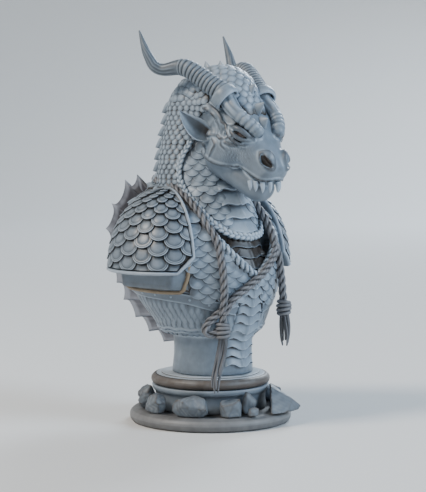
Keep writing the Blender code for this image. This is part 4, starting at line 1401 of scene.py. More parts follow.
def throat_side_scales():
    """Broad scales on the sides of the throat, in front of the plaited cord."""
    places, normals = ring_rows(NECK_RINGS, np.arange(*THROAT_ROWS), THROAT_SPACING)
    keep = (places[:, 1] < cord_behind(places[:, 2])) & (np.abs(places[:, 0]) > THROAT_BARE_HALF)
    keep &= clear_of(places, THROAT_CORD, THROAT_CORD_GAP)
    places, normals = places[keep], normals[keep]
    # Painted light: the scales are lightened by 0.08 where the jaw shades the throat
    lay_scales("throat_side_scales", MAIL, places, normals, (0, -0.1, -1), THROAT_SCALE, 4, 0.08)


def nape_spines():
    """Three rows of pointed scales down the back of the neck."""
    spot = np.array([(turn, height) for height in np.arange(*SPINE_ROWS) for turn in SPINE_TURNS])
    front, back, half = ring_at(NECK_RINGS, spot[:, 1])
    angle = np.radians(spot[:, 0])
    depth = 0.5 * (front + back) + 0.5 * (back - front) * np.cos(angle)
    places, normals = GUIDE.settle(np.column_stack([half * np.sin(angle), depth, spot[:, 1]]))
    lay_scales("nape_spines", SPINY, places, normals, DOWN_BACK, SPINE_SCALE)


def crown_scutes():
    """Broad scutes on the crown between the horns."""
    places, growth = crown_rows(CROWN_CENTRE, np.arange(*CROWN_FALLS), CROWN_SPACING)
    places, normals = GUIDE.settle(places)
    keep = np.abs(places[:, 0]) < between_horns(places) + 0.6
    keep &= (places[:, 1] < CROWN_BACK + 1) & (places[:, 2] > CROWN_FOOT)
    places, normals, growth = places[keep], normals[keep], growth[keep]
    lay_scales("crown_scutes", SCUTE, places, normals, growth, CROWN_SCALE, 5)


def chest_mail():
    """Broad rounded scales over the trunk. They stop at the straps, the neck's opening, the
    column's plates, the shoulder plates and the armholes."""
    heights = np.arange(*MAIL_ROWS)
    places, normals = ring_rows(TRUNK_RINGS, heights, MAIL_SPACING, TRUNK_SQUARENESS)
    outward, depth, height = np.abs(places[:, 0]), places[:, 1], places[:, 2]
    front = depth < 0
    middle = np.maximum(neckline_half(height) + MAIL_NECK_GAP, column_half(height))
    keep = height > strap_height(depth) + np.where(depth > 15, *MAIL_STRAP_GAPS)
    keep &= np.where(front, outward > middle, outward > MAIL_BACK_GAP)
    arm_edge = np.interp(depth, *np.array(ARMHOLE)[:, 1:3].T) - 1.0
    plate_front = np.where(height > 98, PLATE_SEAT_FRONT, ARM_FACE_FRONT)
    keep &= ~((outward > ARM_FACE_OUT) & (height > arm_edge) & (depth > plate_front))
    for below, gap in MAIL_ARMHOLE_GAPS:
        keep &= clear_of(places, ARMHOLE, gap) | (height > below)
    lay_scales("chest_mail", MAIL, places[keep], normals[keep], DOWN, MAIL_SCALE, 6)


def flank_feathers():
    """Narrow upright scales round the cup below the straps."""
    heights = np.arange(*FEATHER_ROWS)
    places, normals = ring_rows(TRUNK_RINGS, heights, FEATHER_SPACING, TRUNK_SQUARENESS)
    outward, depth, height = np.abs(places[:, 0]), places[:, 1], places[:, 2]
    keep = (depth > 0) | (outward > column_half(height))
    keep &= height < strap_height(depth) - FEATHER_STRAP_GAP
    lay_scales("flank_feathers", FEATHER, places[keep], normals[keep], DOWN, FEATHER_SCALE, 7)


def plate_planes(side):
    """A shoulder plate's three limits: a point and the outward direction of each."""
    limits = (PLATE_INNER_LINE, PLATE_CORNER_CUT, ((0, 0, PLATE_LOWER_EDGE), (0, 0, -1)))
    return [(on_side(point, side), unit(on_side(away, side))) for point, away in limits]


def plate_limits(points, side):
    """Distance of points past the nearest of a shoulder plate's limits, below nought inside."""
    return np.max([(points - point) @ away for point, away in plate_planes(side)], axis=0)


def plate_radii(ahead):
    """Radii of a shoulder plate's ellipsoid, which is deeper at the back, where each of an
    array of places is ahead of its middle or not."""
    return np.stack(
        [
            np.full(ahead.shape, PLATE_WIDTH),
            np.where(ahead, PLATE_FRONT, PLATE_BACK),
            np.full(ahead.shape, PLATE_RISE),
        ],
        -1,
    )


def dome_points(side, turn, fall, rise=0.0):
    """Points of a shoulder plate's ellipsoid: turn goes round it from the front, fall goes down
    from its top, and rise is the height over it."""
    ahead = np.cos(turn) * np.sin(fall)
    radii = plate_radii(ahead > 0)
    ball = np.stack([side * np.sin(turn) * np.sin(fall), -ahead, np.cos(fall)], -1)
    lifted = unit(ball / radii) * np.asarray(rise)[..., None]
    return on_side(PLATE_CENTRE, side) + ball * radii + lifted


def plate_shell(side):
    """Hollow shell of a shoulder plate with a rounded moulding round its edge, bright with a
    painted highlight and with painted shade in the groove inside it: the ellipsoid's distance
    less the moulding's rise, kept within the limits and outside the hollow."""
    block = on_side(PLATE_BLOCK, side)
    clay = Clay(block.min(0), block.max(0), PLATE_STEP)
    grid = clay.places()
    off = grid - on_side(PLATE_CENTRE, side)
    radii = plate_radii(off[..., 1] < 0)
    k = np.sqrt(((off / radii) ** 2).sum(-1))
    m = np.sqrt(((off / radii**2) ** 2).sum(-1))
    distance = k * (k - 1) / np.maximum(m, 1e-6)
    past = plate_limits(grid.reshape(-1, 3), side).reshape(k.shape)
    moulding = np.interp(-past, *np.array(PLATE_MOULDING).T)
    shell = np.maximum(distance - moulding, -(distance + PLATE_WALL))
    clay.field = (-smooth_least(-shell, -past, 0.8)).astype(np.float32)
    clay.close()
    points, faces = clay.surface()
    shade = np.interp(-plate_limits(points, side), *np.array(PLATE_MOULDING_SHADE).T)
    return points, faces, shade


def plate_scales(side):
    """Rows of dished scales on a shoulder plate, each laid in the ellipsoid's own turn and
    fall, staggered and lapping over the row below. Past the moulding's foot they are flattened
    against it."""
    pitch = math.radians(PLATE_SCALE_SPAN) / PLATE_SCALE_ROWS
    rise = DISHED.rise.ravel() * PLATE_SCALE_RISE - PLATE_SCALE_SINK
    parts = []
    for row in range(1, PLATE_SCALE_ROWS + 1):
        fall = pitch * (row - PLATE_SCALE_START)
        count = (PLATE_TOP_ROWS[row - 1 :] + (PLATE_SCALES_ROUND,))[0]
        turn = (np.arange(count) + 0.5 * (row % 2)) / count * 2 * math.pi
        across = DISHED.across.ravel() * (math.pi / count) * PLATE_SCALE_WIDTH
        forth = DISHED.forth.ravel() * pitch * PLATE_SCALE_LENGTH
        falls = fall + np.broadcast_to(forth, (count, forth.size))
        points = dome_points(side, turn[:, None] - side * across, falls, rise)
        middle = dome_points(side, turn, np.full(count, fall))
        points = points[plate_limits(middle, side) < PLATE_SCALE_REACH - PLATE_RIM_WIDTH]
        for point, away in plate_planes(side):
            past = (points - point) @ away + PLATE_RIM_WIDTH - PLATE_SCALE_GAP
            points = points - np.maximum(past, 0)[..., None] * away
        parts.append((points.reshape(-1, 3), *DISHED.copies(len(points))))
    return gathered(parts)


def horn(side):
    """Ringed horn: the radius swells in lapping rings up to the bend, then it is smooth with
    long shallow flutes to the tip."""
    points = on_side(HORN, side)
    route, place = along(smooth_route(points, 12), 340)
    bend = np.argmin(np.linalg.norm(route[:, :3] - points[HORN_BEND, :3], axis=1))
    start, end = place[int(bend * 0.12)], place[bend]
    sides = 32
    share = (place - start) / (end - start)
    saw = (share * HORN_RINGS) % 1.0
    ring = np.interp(saw, [0, 0.1, 0.4, 0.75, 1], [-0.4, 0.1, 0.35, 0.15, -0.4])
    ring = ring * np.clip(np.minimum(share, 1 - share) * 30, 0, 1)
    flute = 0.12 * np.cos(around(sides) * 11)[None] * np.clip((share - 1) * 6, 0, 1)[:, None]
    flute = flute * np.interp(place, [end, place[-1]], [1.2, 0.1])[:, None]
    # Painted highlight on the rings' crests and the flutes' ridges, painted shade between them
    code = np.interp(ring, [-0.4, 0, 0.35], [0.12, 0.5, 0.7])[:, None] + 2.0 * flute
    route[-1, 3] = 0.15
    return bar(route, sides, (0, 0.3, 1), ring[:, None] + flute, code=code)


def brow(side):
    """Brow ridge: it leaves the horn's cuff in flutes that run along it, and is then crossed by
    ribs down to its round end over the eye."""
    route, place = along(smooth_route(on_side(BROW, side), 12), 200)
    sides = 40
    share = place / place[-1]
    fluted = np.clip((0.5 - share) * 8, 0, 1)[:, None]
    ribbed = np.clip((share - 0.42) * 8, 0, 1) * np.clip((0.9 - share) * 14, 0, 1)
    rib = np.abs(np.cos(math.pi * place / BROW_RIB_SPACING)) - 0.64
    flute = np.abs(np.cos(around(sides) * 3 + 0.5)) ** 0.8 - 0.64
    swell = 0.7 * flute[None] * fluted + (0.45 * rib * ribbed)[:, None]
    # Painted highlight on the ribs and flutes, painted shade in their grooves
    return bar(route, sides, SIDEWAYS, swell, code=np.clip(0.54 + 0.5 * swell, 0, 1))


def cuff(side):
    """Thick rolled cuff round a horn's root: a profile turned about the horn's own run."""
    return turned(CUFF_PROFILE, 48, on_side(CUFF_ROOT, side), on_side(CUFF_AXIS, side))


def ear(side):
    """Leaf-shaped cup: a section that is a thin crescent, carried from root to tip, whose
    width grows and falls like a leaf's. It has a painted highlight on its rolled rim and painted
    shade dark in its upper hollow, deepest towards the root."""
    rows, half_count = 44, 16
    s = np.linspace(0, 1, rows)
    root, tip, bend = (np.array(point) for point in EAR_LINE)
    line = root + (tip - root) * s[:, None] + bend * (np.sin(math.pi * s) ** 0.8)[:, None]
    width = np.interp(s, [0, 0.15, 0.35, 0.55, 0.75, 0.9, 1], [3.4, 5.4, 6.8, 6.5, 4.5, 2.0, 0.1])
    depth = np.interp(s, [0, 0.3, 0.6, 1], [3.4, 4.2, 3.0, 0.1])
    tangent = unit(np.gradient(line, axis=0))
    facing = np.array(EAR_FACING)
    out = unit(facing - (tangent @ facing)[:, None] * tangent)
    across = np.cross(tangent, out)
    a = np.linspace(-1, 1, half_count)
    outer = -np.sqrt(np.maximum(1 - a**2, 0))
    roll = 0.16 * np.exp(-(((np.abs(a) - 0.94) / 0.1) ** 2))
    loop_a = np.concatenate([a, a[::-1] * 0.94])
    loop_d = np.concatenate([outer, outer * 0.8 + roll[::-1]])
    points = (
        line[:, None]
        + across[:, None] * (loop_a * width[:, None])[..., None]
        + out[:, None] * (loop_d * depth[:, None])[..., None]
    )
    # Painted highlight on the rim and painted shade in the hollow
    inside = np.interp(
        a[::-1], [-1, -0.88, -0.75, -0.2, 0.3, 0.9, 1], [0.85, 0.75, 0.25, 0.3, 0.6, 0.65, 0.9]
    )
    deep = np.interp(s, [0, 0.25, 0.6], [-0.3, -0.1, 0.05])[:, None]
    shade = [np.full((rows, half_count), 0.55), np.clip(inside + deep, 0, 1)]
    faces = closed_bar(rows, 2 * half_count)
    if side > 0:
        faces = faces[:, ::-1]
    return on_side(points.reshape(-1, 3), side), faces, np.concatenate(shade, 1).ravel()


def eye(side):
    """Painted eye: a ball whose iris is a ring round the gaze, with a slit pupil."""
    middle = on_side(EYE[0], side)
    points, faces, _ = ball(middle, np.array(EYE[1]) * 0.97, 48, 64)
    out = unit(points - middle)
    gaze = unit(on_side(GAZE, side))
    off = np.degrees(np.arccos(np.clip(out @ gaze, -1, 1)))
    flat = out - (out @ gaze)[:, None] * gaze
    slit = np.abs(flat @ unit((1, side * 0.8, 0))) * 60 + np.abs(flat[:, 2]) * 14
    relief = np.interp(off, [0, 20, 25, 30, 36], [0.45, 0.6, 0.35, 0.12, 0.1])
    return points, faces, np.minimum(relief, np.interp(slit, [3.0, 5.0], [0.0, 1.0]))


def teeth():
    """Upper fangs: round bars that taper to a point."""
    fangs = []
    for x, y, z, length in TEETH:
        middle = (x, y - 0.4, z - length * 0.5, 1.15)
        for points in both_sides(((x, y, z + 1, 1.5), middle, (x * 0.98, y, z - length, 0.2))):
            fangs.append(bar(along(smooth_route(points, 5), 12)[0], 12, (0, 1, 0), code=0.8))
    return gathered(fangs)


def midline_spikes():
    """Small flattened spikes down the middle of the crown and brow."""
    spikes = []
    for root, tip in BROW_SPIKES + CROWN_SPIKES:
        middle = 0.5 * (np.array(root) + tip)
        points = ((0, *root, 4.2), (0, *middle, 2.6), (0, *tip, 0.2))
        route, _ = along(smooth_route(points, 5), 14)
        spikes.append(bar(route, 20, SIDEWAYS, flatness=0.46, code=0.62))
    return gathered(spikes)


def crest_sheet():
    """The back's fin. Its edge is a scoop from each tip through the valley to the next tip, a
    curve of second degree. Rows run from the root to the edge; a rib runs out to each tip, and
    both sides meet at the edge."""
    spines = np.array(CREST_SPINES)
    tips = np.concatenate([CREST_START[:1], spines[:, 0]])
    valleys = np.concatenate([CREST_START[1:], spines[:-1, 1]])
    share = (np.arange(CREST_SCOOP_STEPS) / CREST_SCOOP_STEPS)[None, :, None]
    start, end, low = tips[:-1, None], tips[1:, None], valleys[:, None]
    bend = 2 * low - 0.5 * (start + end)
    edge = (1 - share) ** 2 * start + 2 * share * (1 - share) * bend + share**2 * end
    edge = np.concatenate([edge.reshape(-1, 2), tips[-1:], spines[-1:, 1]])
    rows = len(edge)
    phase = np.arange(rows) / CREST_SCOOP_STEPS
    rib = (0.5 + 0.5 * np.cos(2 * math.pi * phase)) ** 4
    fine = 0.5 + 0.5 * np.cos(2 * math.pi * phase * 4)
    root = np.zeros((len(CREST_ROOT), 4))
    root[:, :2] = CREST_ROOT
    root = along(root, rows)[0][:, :2]
    steps = 16
    t = np.linspace(0, 1, steps)
    line = root[:, None] + (edge - root)[:, None] * t[None, :, None]
    base = np.interp(t, [0, 0.7, 0.93, 1], [1.6, 1.2, 0.6, 0.05])
    half = base[None, :] * (0.5 + 0.5 * rib[:, None]) + 0.12 * fine[:, None] * (t > 0.3)
    half = np.minimum(half, base + 0.02)
    half[0], half[-1] = half[0] * 0.1, half[-1] * 0.1
    wave = 0.7 * np.sin(phase[:, None] * 2 * math.pi + 1.0) * t[None, :] ** 2
    left = np.stack([half + wave, line[..., 0], line[..., 1]], -1)
    right = np.stack([-half + wave, line[..., 0], line[..., 1]], -1)[:, ::-1]
    # Painted shade dark where it folds half way out high up, a painted highlight along the edge
    # and the ribs, and lighter low down
    fold = np.exp(-(((t[None, :] - 0.5) / 0.1) ** 2)) * np.clip((edge[:, 1:] - 112) / 10, 0, 1)
    shade = 0.27 + 0.24 * rib[:, None] + 0.06 * fine[:, None] - 0.32 * fold
    shade = shade + np.where(t > 0.9, 0.34, 0.0) + 0.3 * np.clip((98 - edge[:, 1:]) / 24, 0, 1)
    shade = np.concatenate([shade, shade[:, ::-1]], 1)
    points = np.concatenate([left, right], 1).reshape(-1, 3)
    return points, closed_bar(rows, 2 * steps), shade.ravel()


def keel_plates(keel, half_widths, waves=0.9, shade=0.0):
    """Plates in a row down the middle of the throat or column. Each is laid on the skin by
    its share across and down: it swells to a wavy lower edge, and a fold runs down the
    middle line."""
    stations = np.array(KEEL_ACROSS)
    stations = np.concatenate([stations, -stations[-2::-1]])
    across, down = np.meshgrid(stations, KEEL_DOWN, indexing="ij")
    n, m = across.shape
    i, j = np.meshgrid(np.arange(n - 1), np.arange(m - 1), indexing="ij")
    corner = (i * m + j).ravel()
    top = np.stack([corner, corner + 1, corner + m + 1, corner + m], -1)
    a, b = np.arange(n - 1), np.arange(m - 1)
    loop = np.concatenate([a * m, (n - 1) * m + b, (n - 1 - a) * m + m - 1, m - 1 - b])
    faces = np.concatenate([top, rungs(loop)])
    far = np.abs(across)
    wave = waves * (0.75 * np.sin(far * 6.6 + 0.6) + 0.8 * (1 - far) - 0.2)
    wave = wave * np.clip(down * 1.4 - 0.3, 0, 1)
    lift = np.interp(down, (-0.34, 0, 0.55, 0.97, 1.0), (0.1, 0.3, 1.0, 1.9, 1.6))
    lift = lift * np.interp(far, (0, 0.85, 0.97, 1), (1, 0.95, 0.7, 0))
    lift = lift + np.interp(far, (0, 0.06, 0.12, 0.2), (0.8, 0.7, 0.15, 0)) * (down > 0)
    edge = (far > 0.99) | (down > 1.01) | (down < -0.33)
    lift = np.where(edge, -0.7, lift)
    # Painted shade under the plate above and below the lower edge, a painted highlight along that
    # edge; shade adds painted light to a whole row
    code = np.interp(down, (-0.34, 0.05, 0.3, 0.9, 0.98, 1.02), (0.0, 0.1, 0.5, 0.6, 0.9, 0.0))
    code = np.clip(code + shade, 0, 1)
    parts = []
    for (y0, z0), (y1, z1) in zip(keel, keel[1:]):
        z = z0 + (z1 - z0) * down - wave
        half = np.interp(z, *np.array(half_widths).T)
        points = np.stack([across * half, y0 + (y1 - y0) * down, z], -1).reshape(-1, 3)
        flat, out = GUIDE.settle(points, 6)
        parts.append((flat + out * lift.ravel()[:, None], faces, code.ravel()))
    return gathered(parts)


def both(table, make, shade=0.0):
    """The same form made on both sides, with shade added to its relief."""
    points, faces, relief = gathered([make(points) for points in both_sides(table)])
    return points, faces, relief + shade


def laid_cord(table, rise):
    """A cord's route settled on the skin and lifted by some of its radius, with the skin's
    outward direction at each point."""
    route, _ = along(smooth_route(table, 6), 90)
    spots, out = GUIDE.settle(route[:, :3], 6)
    return np.column_stack([spots + out * route[:, 3:4] * rise, route[:, 3]]), out


def twisted(route, strands, lay, share=0.5, fibres=4, sides=14, step=0.8):
    """Twisted rope: each strand is a bar whose middle line turns round the rope's once in each
    lay of length, and fibres wind round the strand. Its relief is painted shade, low on the
    rope's inside, with a painted highlight on the fibres' crests."""
    length = np.linalg.norm(np.diff(route[:, :3], axis=0), axis=1).sum()
    line, place = along(route, max(int(length / step), 6))
    _, first, second = frames(line[:, :3], SIDEWAYS)
    parts = []
    for strand in range(strands):
        phase = 2 * math.pi * (place / lay + strand / strands)
        out = first * np.cos(phase)[:, None] + second * np.sin(phase)[:, None]
        middle = line[:, :3] + out * line[:, 3:4] * share
        own = np.column_stack([middle, line[:, 3] * (1.04 - share)])
        wind = np.cos(fibres * around(sides)[None] + 2 * math.pi * place[:, None] / (lay * 0.4))
        points, faces, _ = bar(own, sides, SIDEWAYS, 0.09 * wind * own[:, 3:4])
        away = np.linalg.norm(points.reshape(len(own), sides, 3) - line[:, None, :3], axis=2)
        # Painted shade inside the rope, painted highlight on its outside and the fibres' crests
        relief = np.interp(away / line[:, 3:4], [0.5, 0.8, 1.05], [0.05, 0.4, 0.8]) + 0.12 * wind
        parts.append((points, faces, relief.ravel()))
    return gathered(parts)


def neckline_twist(table):
    """Two-strand cord that hems the mail's neck opening."""
    return twisted(smooth_route(table + (0, -0.6, 0.3, 0.25), 6), 2, 8.0, 0.45, 3)


def braided(route, outward, pitch, sides=10):
    """Three-strand plait: a strand at phase p is off the middle line by sin p to the side and
    by sin 2p outward, and the strands are a third of a turn apart."""
    line, place = along(np.column_stack([route, outward]), 150)
    _, first, second = frames(line[:, :3], line[:, 4:7])
    parts = []
    for strand in range(3):
        phase = 2 * math.pi * (place / pitch + strand / 3)
        middle = (
            line[:, :3]
            + second * (np.sin(phase) * line[:, 3] * 0.62)[:, None]
            + first * (np.sin(2 * phase) * line[:, 3] * 0.36)[:, None]
        )
        own = np.column_stack([middle, line[:, 3] * 0.52])
        points, faces, _ = bar(own, sides, line[:, 4:7])
        out = ((points.reshape(len(own), sides, 3) - line[:, None, :3]) * first[:, None]).sum(2)
        # Painted shade on the plait's inner side and a painted highlight on its outer side
        relief = np.interp(out / line[:, 3:4], [-0.2, 0.3, 0.85], [0.1, 0.45, 0.85])
        parts.append((points, faces, relief.ravel()))
    return gathered(parts)


def throat_plait(table):
    """Three-strand plait that lies on the skin."""
    return braided(*laid_cord(table, 0.85), 10.0)


def rim(table):
    """A thin rounded rim laid on the skin."""
    route, out = laid_cord(table, 0.45)
    route[:, 3] = 1.15
    return bar(route, 12, out, code=0.5)


def strap_band(table):
    """A flat strap settled on the skin with its broad side out and raised edges: its section
    is a circle squared to the fourth power."""
    table[:, 3] = STRAP_HALF_WIDTH
    route, out = laid_cord(table, 0.0)
    sides = 24
    turn = around(sides)
    square = (np.abs(np.cos(turn)) ** 4 + np.abs(np.sin(turn)) ** 4) ** -0.25
    outer = np.abs(np.sin(turn) * square)
    edge = 0.6 * np.exp(-(((outer - 0.82) / 0.13) ** 2)) * np.sign(np.cos(turn))
    _, first, second = frames(route[:, :3], out)
    thick = (np.cos(turn) * square) * STRAP_HALF_THICKNESS + edge * 0.7
    points = (
        route[:, None, :3]
        + first[:, None] * thick[None, :, None]
        + second[:, None] * (np.sin(turn) * square * STRAP_HALF_WIDTH)[None, :, None]
    )
    # Painted shade dark on the strap's sides and a painted highlight on its raised edges
    relief = np.where(outer > 0.97, 0.05, 0.42 + 0.5 * np.abs(edge))
    return points.reshape(-1, 3), closed_bar(len(route), sides), np.tile(relief, len(route))


def strap_rivets(table):
    """Round rivet heads at even steps along a strap."""
    route, out = laid_cord(table, 0.0)
    heads = range(6, 88, 9)
    radii = (RIVET_RADIUS,) * 3
    return gathered([ball(route[k, :3] + out[k] * 0.9, radii, 8, 12, 0.75) for k in heads])


def ropes():
    """Three-strand rope on its four runs: round the neck, across the chest, down to the far
    tassel and round the near knot."""
    runs = []
    for route in (ROPE_ROUND_NECK, ROPE_CROSSING, ROPE_HANGING, ROPE_LOOP):
        line = np.column_stack([np.array(route), np.full(len(route), ROPE_RADIUS)])
        runs.append(twisted(smooth_route(line, 8), 3, ROPE_LAY))
    return gathered(runs)


def knot(middle, radius, coils=4, rows=40, sides=10):
    """Whipping of a rope: level coils one above another over a round core."""
    parts = [ball(middle, (radius * 0.62, radius * 0.62, radius * 0.95), code=0.2)]
    turn = np.linspace(0, 2 * math.pi, rows + 1)[:-1]
    angle = around(sides)
    out = np.column_stack([np.cos(turn), np.sin(turn), 0 * turn])
    here = np.arange(rows)[:, None] * sides + np.arange(sides)
    on = np.arange(rows)[:, None] * sides + (np.arange(sides) + 1) % sides
    next_here, next_on = (here + sides) % (rows * sides), (on + sides) % (rows * sides)
    faces = np.stack([here, next_here, next_on, on], -1).reshape(-1, 4)
    # Painted shade: the core and the coils' inner sides are dark, their outer sides pale
    shade = np.broadcast_to(np.interp(np.cos(angle), [-1, 0, 1], [0.1, 0.3, 0.75]), (rows, sides))
    for coil in range(coils):
        step = coil - (coils - 1) / 2
        reach = radius * (0.62 + 0.16 * math.cos(step * 0.8))
        slope = 0.12 * radius * np.cos(turn + coil)
        ring = np.asarray(middle) + out * reach
        ring[:, 2] += step * radius * 0.46 + slope
        tube = (
            ring[:, None]
            + out[:, None] * (np.cos(angle) * radius * 0.27)[None, :, None]
            + np.array((0, 0, 1.0)) * (np.sin(angle) * radius * 0.27)[None, :, None]
        )
        parts.append((tube.reshape(-1, 3), faces, shade.ravel()))
    return gathered(parts)


def tassel(route, count, seed):
    """Frayed end: strands that start together, spread by their own share of the rope's radius
    and end at different lengths."""
    dice = np.random.default_rng(seed)
    line, _ = along(smooth_route(route, 8), 36)
    _, first, second = frames(line[:, :3], SIDEWAYS)
    parts = []
    share = np.linspace(0, 1, len(line))
    for strand in range(count):
        turn = strand * 2.4 + dice.uniform(-0.3, 0.3)
        reach = (0.35 + 0.65 * math.sqrt((strand + 0.5) / count)) * line[:, 3]
        wander = turn + share * dice.uniform(-1.6, 1.6)
        out = first * np.cos(wander)[:, None] + second * np.sin(wander)[:, None]
        middle = line[:, :3] + out * (reach * (0.45 + 0.55 * share))[:, None]
        last = int(len(line) * dice.uniform(0.72, 1.0))
        radius = np.linspace(1, 0.55, last)
        radius[-1] = 0.25
        own = np.column_stack([middle[:last], radius])
        code = np.interp(share[:last], [0, 1], [0.45, 0.7])[:, None]
        parts.append(bar(own, 7, (1, 0.2, 0), code=code))
    return gathered(parts)


def rock(name, seed):
    """Broken stone: the greatest distance past the flat sides of the CAD stone and of some
    flakes knocked off it, with ledges along its bedding and fine roughness. It is fitted to the
    drum and to the foot."""
    dice = np.random.default_rng(seed)
    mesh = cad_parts[name].data
    corners = np.array([v.co[:] for v in mesh.vertices]) / MM - (0, 0, FIGURE_SHIFT)
    sides = np.array([(*p.normal, p.center.dot(p.normal) / MM) for p in mesh.polygons])
    sides[:, 3] -= FIGURE_SHIFT * sides[:, 2]
    low, high = corners.min(0), corners.max(0)
    clay = Clay(low - 0.8, high + 0.8, STONE_STEP)
    grid = clay.places()
    hull = np.full(grid.shape[:3], -99.0)
    for a, b, c, d in np.unique(np.round(sides, 3), axis=0):
        if (low + high) / 2 @ (a, b, c) < d:
            hull = np.maximum(hull, grid @ (a, b, c) - d)
    for away in unit(dice.normal(size=(STONE_FLAKES, 3))):
        support = (corners @ away).max() - dice.uniform(0.4, 1.8)
        if away[2] > -0.3:
            hull = np.maximum(hull, grid @ away - support)
    bed = unit(dice.normal(size=3) * (1, 1, 0.5))
    height = grid @ bed / STONE_BED + 0.45 * np.sin(grid @ dice.normal(size=3) * 0.5)
    ledge = 0.45 * np.abs(height % 1.0 - 0.4) * (dice.uniform() > 0.45)
    rough = np.zeros(hull.shape)
    for size in STONE_ROUGHNESS:
        waves = unit(dice.normal(size=(3, 3))) * (2 * math.pi / size)
        rough += 0.035 * size * sum(np.sin(grid @ w + dice.uniform(0, 6)) for w in waves) / 3
    stone = np.maximum(hull + ledge + rough - 0.1, low[2] - grid[..., 2])
    drum = np.hypot(grid[..., 0], grid[..., 1])
    stone = np.maximum(stone, STONE_CLEAR_OF_DRUM - drum)
    foot = np.maximum(drum - STONE_FOOT_REACH, grid[..., 2] - STONE_ON_FOOT)
    clay.field = np.maximum(stone, -foot).astype(np.float32)
    clay.close()
    points, faces = clay.surface()
    # The relief puts wash and painted shade into the cracks and a painted highlight on the edges
    return points, faces, coded(relief_of(points, faces, 4), 1.1)


def linear(hex_colour):
    """An sRGB hex colour as linear red, green, blue and full alpha."""
    parts = [int(hex_colour[i : i + 2], 16) / 255 for i in (1, 3, 5)]
    return (*[p / 12.92 if p <= 0.04045 else ((p + 0.055) / 1.055) ** 2.4 for p in parts], 1.0)


def add_node(tree, kind, inputs=None, **settings):
    """A node with its settings; inputs maps a socket to a value or to another node's output."""
    node = tree.nodes.new(kind)
    for name, value in settings.items():
        setattr(node, name, value)
    for socket, value in (inputs or {}).items():
        if isinstance(value, bpy.types.NodeSocket):
            tree.links.new(value, node.inputs[socket])
        else:
            node.inputs[socket].default_value = value
    return node


def cast_resin(name, hollow, body, ridge, rough=0.5, grit=0.00005):
    """Polyurethane resin cast in a silicone mould, primed matt and washed: dull, with a painted
    highlight pale on the ridges and painted shade with the wash warm and dark in the hollows. Its
    colour follows the relief, stained in soft patches by the wash, and its primer's grain is
    drawn coarser than the real one so that it shows."""
    made = bpy.data.materials.new(name)
    made.use_nodes = True
    tree = made.node_tree
    shader = tree.nodes["Principled BSDF"]
    shader.inputs["IOR"].default_value = RESIN_IOR
    shader.inputs["Roughness"].default_value = rough
    where = add_node(tree, "ShaderNodeTexCoord").outputs["Object"]
    relief = add_node(tree, "ShaderNodeAttribute", attribute_name="relief")
    scale = 1 / (STAIN_SIZE * MM)
    patch = add_node(
        tree, "ShaderNodeTexNoise", {"Vector": where, "Scale": scale, "Detail": 4.0}
    )
    inputs = {0: patch.outputs["Fac"], 1: 2 * STAIN_DEPTH, 2: -STAIN_DEPTH}
    shifted = add_node(tree, "ShaderNodeMath", inputs, operation="MULTIPLY_ADD")
    inputs = {0: relief.outputs["Fac"], 1: shifted.outputs[0]}
    stain_and_painted_light = add_node(tree, "ShaderNodeMath", inputs, operation="ADD")
    # The relief's painted shade and highlight, shifted by the stains
    ramp = add_node(tree, "ShaderNodeValToRGB", {"Fac": stain_and_painted_light.outputs[0]})
    ends = ramp.color_ramp.elements
    ends[0].position, ends[1].position = HOLLOW_RELIEF, RIDGE_RELIEF
    ends[0].color, ends[1].color = linear(hollow), linear(ridge)
    ends.new(BODY_RELIEF).color = linear(body)
    scale = 1 / (PRIMER_GRAIN * MM)
    grain = add_node(
        tree, "ShaderNodeTexNoise", {"Vector": where, "Scale": scale, "Detail": 3.0}
    )
    inputs = {"Height": grain.outputs["Fac"], "Distance": grit, "Strength": 0.5}
    bump = add_node(tree, "ShaderNodeBump", inputs)
    tree.links.new(ramp.outputs["Color"], shader.inputs["Base Color"])
    tree.links.new(bump.outputs["Normal"], shader.inputs["Normal"])
    return made


def backdrop_paper():
    """Uncoated paper off a roll: matt all over, so that it shows soft shadows and no shine."""
    made = bpy.data.materials.new("matt_backdrop_paper")
    made.use_nodes = True
    shader = made.node_tree.nodes["Principled BSDF"]
    shader.inputs["Base Color"].default_value = linear("#d4d4d3")
    shader.inputs["Roughness"].default_value = 0.9
    return made


def linked(name, data):
    """A new object in the scene."""
    made = bpy.data.objects.new(name, data)
    bpy.context.scene.collection.objects.link(made)
    return made


def make_camera():
    """The photograph's view: from the dragon's right front, level with its cheek. The picture's
    middle lies below the horizon, so the camera looks down a little."""
    camera = bpy.data.cameras.new("camera")
    camera.lens = CAMERA_LENS
    camera.sensor_width = CAMERA_SENSOR
    camera.shift_x = CAMERA_SHIFT_PX / PHOTO_HEIGHT_PX
    camera.clip_start = 0.02
    made = linked("camera", camera)
    pitch = math.atan(HORIZON_ABOVE_MIDDLE_PX / PHOTO_FOCAL_PX)
    slant = math.sqrt(0.5)
    made.location = (-slant * CAMERA_AWAY, -slant * CAMERA_AWAY, CAMERA_HEIGHT)
    look = Vector((slant * math.cos(pitch), slant * math.cos(pitch), -math.sin(pitch)))
    made.rotation_euler = look.to_track_quat("-Z", "Y").to_euler()
    bpy.context.scene.camera = made


def make_light(name, direction, size, energy, colour, distance):
    """A soft square light that looks at the bust from a direction."""
    light = bpy.data.lights.new(name, "AREA")
    light.shape = "SQUARE"
    light.size = size
    light.energy = energy
    light.color = colour
    made = linked(name, light)
    aim = Vector((0, 0, LIGHT_AIM_HEIGHT))
    made.location = aim + Vector(direction).normalized() * distance
    made.rotation_euler = (aim - made.location).to_track_quat("-Z", "Y").to_euler()


